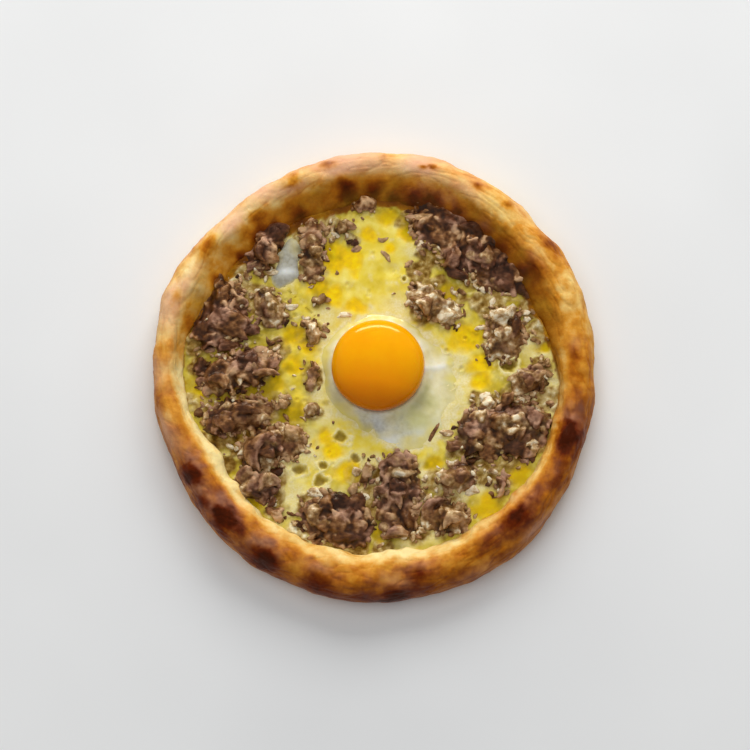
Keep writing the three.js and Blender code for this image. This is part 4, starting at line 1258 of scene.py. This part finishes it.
class Shreds:
    """Many craggy pieces of meat that are joined into one mesh."""

    def __init__(self):
        self.corners = []
        self.faces = []
        self.masks = {"tone": [], "crevice_shade": [], "film": []}
        self.count = 0

    def add_mesh(self, corners, faces, tone, crevice_shade, film):
        self.faces.append(faces + self.count)
        self.corners.append(corners)
        self.count += len(corners)
        for name, values in (("tone", tone), ("crevice_shade", crevice_shade), ("film", film)):
            self.masks[name].append(values)

    def add(self, middle, half, dice, coat, fibres=0.0, turn=None, tone=None):
        """One torn or cut piece: half-sizes along three directions, cheese on it, how stringy it is."""
        unit, faces = next(shape for size, shape in BALLS if max(half) >= size)
        # A ball cut by flat facets, with soft edges between them
        facets = dice.normal(size=(FACETS, 3))
        facets /= np.linalg.norm(facets, axis=1)[:, None]
        pressed = np.clip(unit @ facets.T, 0, None) / dice.uniform(0.66, 1.0, FACETS)
        total = np.maximum((pressed**SHARPNESS).sum(axis=1), 1e-9)
        reach = np.minimum(total ** (-1 / SHARPNESS), 1.15)
        place = unit + dice.uniform(0, 90, 3)
        calm = min(1, 4.5 / max(half))
        lumps = calm * (0.26 * noise(place, 0.9) + 0.15 * noise(place, 0.42))
        fine = 0.05 * noise(place, 0.2)
        strings = noise(place * (0.3, 1, 1), 0.17)
        groove = np.clip(1 - np.abs(noise(place * (0.6, 1, 1), 0.6, 3)) * 4, 0, 1) ** 2
        rough = 1 - 0.5 * coat
        swell = reach + lumps + rough * (fine + (0.04 + fibres) * strings - 0.16 * groove)
        shape = unit * swell[:, None] * half
        bend = dice.normal(0, 0.3) * min(1, 1.5 * half[1] / half[0])
        shape[:, 1] += bend * shape[:, 0] ** 2 / half[0]
        corners = turned(shape, dice, turn) + middle
        up = np.clip((corners[:, 2] - middle[2]) / max(half), -1, 1)
        film = meat_film(corners, coat, up)
        # Painted shade in the grooves, between the fibres and low on the piece
        lines = 6 * fibres * np.clip(-1.4 * strings - 0.1, 0, 1)
        crevice_shade = np.clip(1.5 * groove + lines - 2.0 * lumps - 0.15 - 0.45 * up, 0, 1)
        crevice_shade *= 1 - 0.6 * film
        # The top is lighter, as painted light
        shade = meat_tone(corners) + dice.normal(0, 0.16) + 0.2 * up - 0.06
        if tone is not None:
            shade = tone + 0.5 * (shade - 0.5)
        self.add_mesh(corners, faces, np.clip(shade, 0, 1), crevice_shade, film)

    def height_over(self, x, y, reach):
        """Top of the pieces so far round a place."""
        near = [c[away(c, x, y) < reach, 2] for c in self.corners]
        return float(np.percentile(np.concatenate(near), 85))

    def finish(self, name, material):
        """Keeps the pieces apart, with half the painted shade in their crevices and a little lighter than
        those of a heap.
        """
        masks = {key: np.concatenate(values) for key, values in self.masks.items()}
        masks["crevice_shade"] *= 0.5
        masks["tone"] += 0.1
        make_piece(name, np.vstack(self.corners), np.vstack(self.faces), material, masks)

    def finish_fused(self, node, material):
        """Joins the pieces into one skin, with painted shade in its hollows and painted light on its
        ridges.
        """
        corners = np.vstack(self.corners)
        points, triangles, edges = fused(corners, np.vstack(self.faces), MEAT_CELL)
        near = KDTree(len(corners))
        for number, corner in enumerate(corners):
            near.insert(corner, number)
        near.balance()
        source = [near.find(point)[1] for point in points]
        table = np.column_stack([np.concatenate(values)[source] for values in self.masks.values()])
        tone, crevice_shade, film = relaxed(table, edges, 2).T
        points = relaxed(points, edges, 1)
        normals = mesh_normals(points, triangles)
        narrow = relaxed(points, edges, 7)
        wide = relaxed(narrow, edges, 18)
        hollow = ((narrow - points) * normals).sum(axis=1) / HOLLOW_DEPTH
        broad = ((wide - points) * normals).sum(axis=1) / BROAD_DEPTH
        dark = 0.4 * crevice_shade + 0.7 * np.clip(hollow, 0, 1) + 0.75 * np.clip(broad, 0, 1)
        tone += 0.18 * np.clip(-hollow, -0.3, 1) + 0.14 * np.clip(-broad, -0.5, 1)
        masks = {
            "tone": np.clip(tone, 0, 1),
            "crevice_shade": np.clip(dark, 0, 1) * (1 - 0.55 * film),
            "film": film,
        }
        make_piece(node + "_dressed", points, triangles, material, masks, [node])


def drape(node, step):
    """Heights of a CAD node over a grid of places round it, nan outside it."""
    low, high = [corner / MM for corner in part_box(node)]
    x = np.arange(low.x - step, high.x + 1.5 * step, step)
    y = np.arange(low.y - step, high.y + 1.5 * step, step)
    x, y = np.meshgrid(x, y, indexing="ij")
    return x, y, top_at(surface(node), x, y)


def add_core(shreds, x, y, heights, filling, coat):
    """The sauce-covered mound under a heap: a closed sheet a little below the solid's top."""
    inside = ~np.isnan(heights)
    cheese = filling.chart.read(filling.level, x, y)
    soft = blurred(blurred(np.where(inside, heights, cheese), 1.3, 0), 1.3, 1)
    points = flat_points(x, y)
    lumps = layers(points, (0.8, 3.2, 80), (0.5, 1.5, 81)).reshape(x.shape)
    top = cheese + (soft - cheese) * 0.9 + lumps * inside
    top = np.where(inside, top, cheese - 0.6)
    side_x, side_y = x.shape
    i, j = np.meshgrid(np.arange(side_x - 1), np.arange(side_y - 1), indexing="ij")
    used = inside[i, j] | inside[i + 1, j] | inside[i, j + 1] | inside[i + 1, j + 1]
    a = (i * side_y + j)[used]
    upper = quad_faces(a, a + side_y, a + side_y + 1, a + 1)
    lower = upper[:, ::-1] + x.size
    edges = {(face[k - 1], face[k]) for face in upper.tolist() for k in range(3)}
    rim = sorted(edge for edge in edges if (edge[1], edge[0]) not in edges)
    sides = [(p, p + x.size, q + x.size) for p, q in rim] + [(p, q + x.size, q) for p, q in rim]
    corners = np.vstack([flat_points(x, y, top), flat_points(x, y, cheese - SUNK)])
    kept, faces = np.unique(np.vstack([upper, lower, np.array(sides)]), return_inverse=True)
    corners = corners[kept]
    film = meat_film(corners, coat, 0.2)
    crevice_shade = np.clip(0.3 - 0.6 * noise(corners, 2.2, 83), 0, 1) * (1 - film)
    shreds.add_mesh(corners, faces.reshape(-1, 3), meat_tone(corners), crevice_shade, film)


def scatter(x, y, heights, dice, taken):
    """Seeded places for a heap's small pieces, clear of the large ones: place, half-size and height."""
    inside = ~np.isnan(heights)
    spots = np.argwhere(inside)
    spilled = blurred(blurred(inside.astype(float), 1.6, 0), 1.6, 1) > 0.12
    area = len(spots) * (x[1, 0] - x[0, 0]) ** 2
    chosen = [(u, v, 1.05 * size, None) for u, v, size in taken]
    for low, high, area_each, closeness in PIECE_SIZES:
        if high < SPILLED_SIZE:
            spots = np.argwhere(spilled)
        dice.shuffle(spots)
        left = round(area / area_each)
        for i, j in spots:
            if left == 0:
                break
            size = dice.uniform(low, high)
            u, v = x[i, j] + dice.uniform(-0.3, 0.3), y[i, j] + dice.uniform(-0.3, 0.3)
            if all(math.hypot(u - p, v - q) > closeness * (size + r) for p, q, r, _ in chosen):
                chosen.append((u, v, size, heights[i, j]))
                left -= 1
    return chosen[len(taken) :]


def add_bit(shreds, place, bit, dice):
    """One of the named small bits, lying on whatever is below it."""
    long, wide, turn, tone, coat = bit
    half = np.array([long, wide, 0.35 * wide + 0.35])
    x, y, z = place
    shreds.add((x, y, z + 0.1 * half[2]), half, dice, coat, 0.05 * (1 - coat), turn, tone)


def build_heap(name, coat, large, seed, material, filling):
    """One heap: a core, its large pieces, seeded small ones and the bits that lie on it."""
    dice = np.random.default_rng(seed)
    x, y, heights = drape(name, HEAP_CELL)
    tree = surface(name)
    shreds = Shreds()
    add_core(shreds, x, y, heights, filling, coat)
    for u, v, long, wide, turn, tone, coated in large:
        half = np.array([long, wide, 0.62 * wide + 0.5])
        around = top_at(tree, u + np.array([0, 2, -2, 0, 0]), v + np.array([0, 0, 0, 2, -2]))
        top = CHEESE_LEVEL + 2.5 if np.isnan(around).all() else np.nanmax(around)
        middle = (u, v, max(top + 0.6 - BELOW_TOP * half[2], CHEESE_LEVEL))
        shreds.add(middle, half, dice, coated, 0.09 * (1 - coated), turn, tone)
    taken = [(u, v, math.sqrt(long * wide)) for u, v, long, wide, *_ in large]
    for u, v, size, top in scatter(x, y, heights, dice, taken):
        if math.isnan(top):
            top = filling.height(u, v) + 0.9 * size
        coated = float(np.clip(coat + dice.normal(0, 0.12), 0, 1))
        half = size * dice.uniform((1.1, 0.7, 0.55), (1.6, 0.95, 0.8))
        rise = top + dice.uniform(-1.1, 0.3) - BELOW_TOP * half[2]
        shreds.add((u, v, max(rise, CHEESE_LEVEL + 0.2)), half, dice, coated, dice.uniform(0, 0.05))
    for u, v, *bit in BITS:
        if not np.isnan(top_at(tree, u, v)):
            add_bit(shreds, (u, v, shreds.height_over(u, v, 2.0)), bit, dice)
    shreds.finish_fused(name, material)


def build_single(name, coat, seed, material):
    """One single piece: a few craggy lumps grown together in the solid's form."""
    dice = np.random.default_rng(seed)
    x, y, heights = drape(name, SINGLE_CELL)
    inside = ~np.isnan(heights)
    shreds = Shreds()
    centre = np.array([x[inside].mean(), y[inside].mean()])
    values, ways = np.linalg.eigh(np.cov(np.column_stack([x[inside], y[inside]]).T))
    long, wide = 2 * math.sqrt(values[1]), 2 * math.sqrt(values[0])
    way = ways[:, 1]
    parts = max(3, round(long / 1.8))
    for share in np.linspace(-0.6, 0.6, parts):
        size = wide * dice.uniform(0.75, 0.95) * (1 - 0.3 * abs(share))
        u, v = centre + way * long * share + dice.normal(0, 0.12 * wide, 2)
        half = size * np.array([dice.uniform(1.1, 1.5), 1, dice.uniform(0.7, 0.9)])
        top = np.nanmax(heights) - 1.2 * abs(share)
        shreds.add((u, v, top - BELOW_TOP * half[2]), half, dice, coat, 0.05)
    shreds.finish_fused(name, material)


def build_crumbs(material, filling, name, side):
    """Crumbs and shreds between the heaps on the back half of the bread, side 1, or the front, -1."""
    dice = np.random.default_rng(CRUMB_SEED + side)
    shreds = Shreds()
    egg = middle_of("egg_yolk")
    left = CRUMBS
    while left:
        angle, far = dice.uniform(0, math.pi), FILLING_RADIUS * math.sqrt(dice.uniform())
        x, y = far * math.cos(angle), side * far * math.sin(angle)
        near = float(filling.chart.read(filling.near_meat, x, y))
        on_white = float(filling.chart.read(filling.near_white, x, y)) > 0.25
        sauce = float(filling.sauce(flat_points(x, y))[0])
        if on_white or math.dist((x, y), egg) < EGG_CLEARANCE:
            continue
        if dice.uniform() > 0.002 + 2.4 * near * (1 - near) + 0.3 * sauce:
            continue
        size = dice.uniform(0.8, 1.6) * (0.7 + 0.5 * near + 0.25 * sauce)
        half = size * np.array([dice.uniform(1.0, 1.9), 0.85, 0.7])
        z = filling.height(x, y) + 0.1 * size
        shreds.add((x, y, z), half, dice, float(dice.uniform(0.2, 0.9)), 0.05)
        left -= 1
    for x, y, *bit in BITS:
        if side * y > 0 and np.isnan(top_at(filling.meat, x, y)):
            add_bit(shreds, (x, y, filling.height(x, y)), bit, dice)
    shreds.finish(name, material)


# Studio


def soft_light(name, middle, target, width, height, power, tint, shine=True):
    """An area light in metres that faces a target and, unless it has no shine, shows in gloss."""
    data = bpy.data.lights.new(name, "AREA")
    data.shape = "RECTANGLE"
    data.size, data.size_y = width, height
    data.energy = power
    data.color = tint
    light = linked(name, data)
    light.location = middle
    light.visible_glossy = shine
    light.rotation_euler = (Vector(target) - Vector(middle)).to_track_quat("-Z", "Y").to_euler()


def build_studio():
    paint = Paint("pale_floor")
    tone = paint.ramp(paint.speckle(120, 2), [(0.3, "#eaebec"), (0.7, "#eff0f1")])
    material = paint.finish(Base_Color=tone, Roughness=0.85, Specular_IOR_Level=0.2)
    mesh = bpy.data.meshes.new("floor")
    far = 6  # metres from the middle to each side
    corners = [(-far, -far, 0), (far, -far, 0), (far, far, 0), (-far, far, 0)]
    mesh.from_pydata(corners, [], [(0, 1, 2, 3)])
    mesh.materials.append(material)
    floor = linked("floor", mesh)

    world = bpy.data.worlds.new("studio")
    world.use_nodes = True
    background = world.node_tree.nodes["Background"]
    background.inputs["Color"].default_value = (0.96, 0.98, 1.0, 1)
    background.inputs["Strength"].default_value = 0.26
    bpy.context.scene.world = world

    centre = (0, 0, 0.01)
    soft_light("window_back", (0.1, 1.15, 0.9), centre, 1.2, 0.8, 13.5, (1.0, 0.99, 0.97), shine=False)
    soft_light("window_low", (0.0, 1.3, 0.26), centre, 1.3, 0.2, 7.5, (1.0, 0.97, 0.9))
    soft_light("ceiling", (-0.2, -0.1, 1.6), centre, 1.4, 1.4, 8.5, (1.0, 0.99, 0.97), shine=False)


def build_camera():
    slant = math.radians(CAMERA_ELEVATION)
    target = Vector(CAMERA_TARGET) * MM
    back = Vector((0, -math.cos(slant), math.sin(slant)))
    data = bpy.data.cameras.new("camera")
    data.sensor_width = SENSOR_WIDTH
    data.lens = SENSOR_WIDTH * CAMERA_DISTANCE / (2 * VIEW_HALF_WIDTH)
    camera = linked("camera", data)
    camera.location = target + back * CAMERA_DISTANCE * MM
    camera.rotation_euler = (-back).to_track_quat("-Z", "Y").to_euler()
    bpy.context.scene.camera = camera
    bpy.context.scene.view_settings.view_transform = "Standard"


def build_all():
    crust_tree = build_crust(dough_material())
    filling = Filling()
    build_cheese(cheese_material(), filling, crust_tree)
    white = white_material()
    build_white(white, filling)
    build_white_patch(white, filling)
    build_yolk(yolk_material())
    meat = meat_material()
    for number, (name, (coat, large)) in enumerate(HEAPS.items()):
        build_heap("meat_heap_" + name, coat, large, HEAP_SEED + number, meat, filling)
    for number, (name, coat) in enumerate(SINGLES.items()):
        build_single("meat_piece_" + name, coat, SINGLE_SEED + number, meat)
    build_crumbs(meat, filling, "meat_crumbs_back", 1)
    build_crumbs(meat, filling, "meat_crumbs_front", -1)
    build_studio()
    build_camera()


build_all()
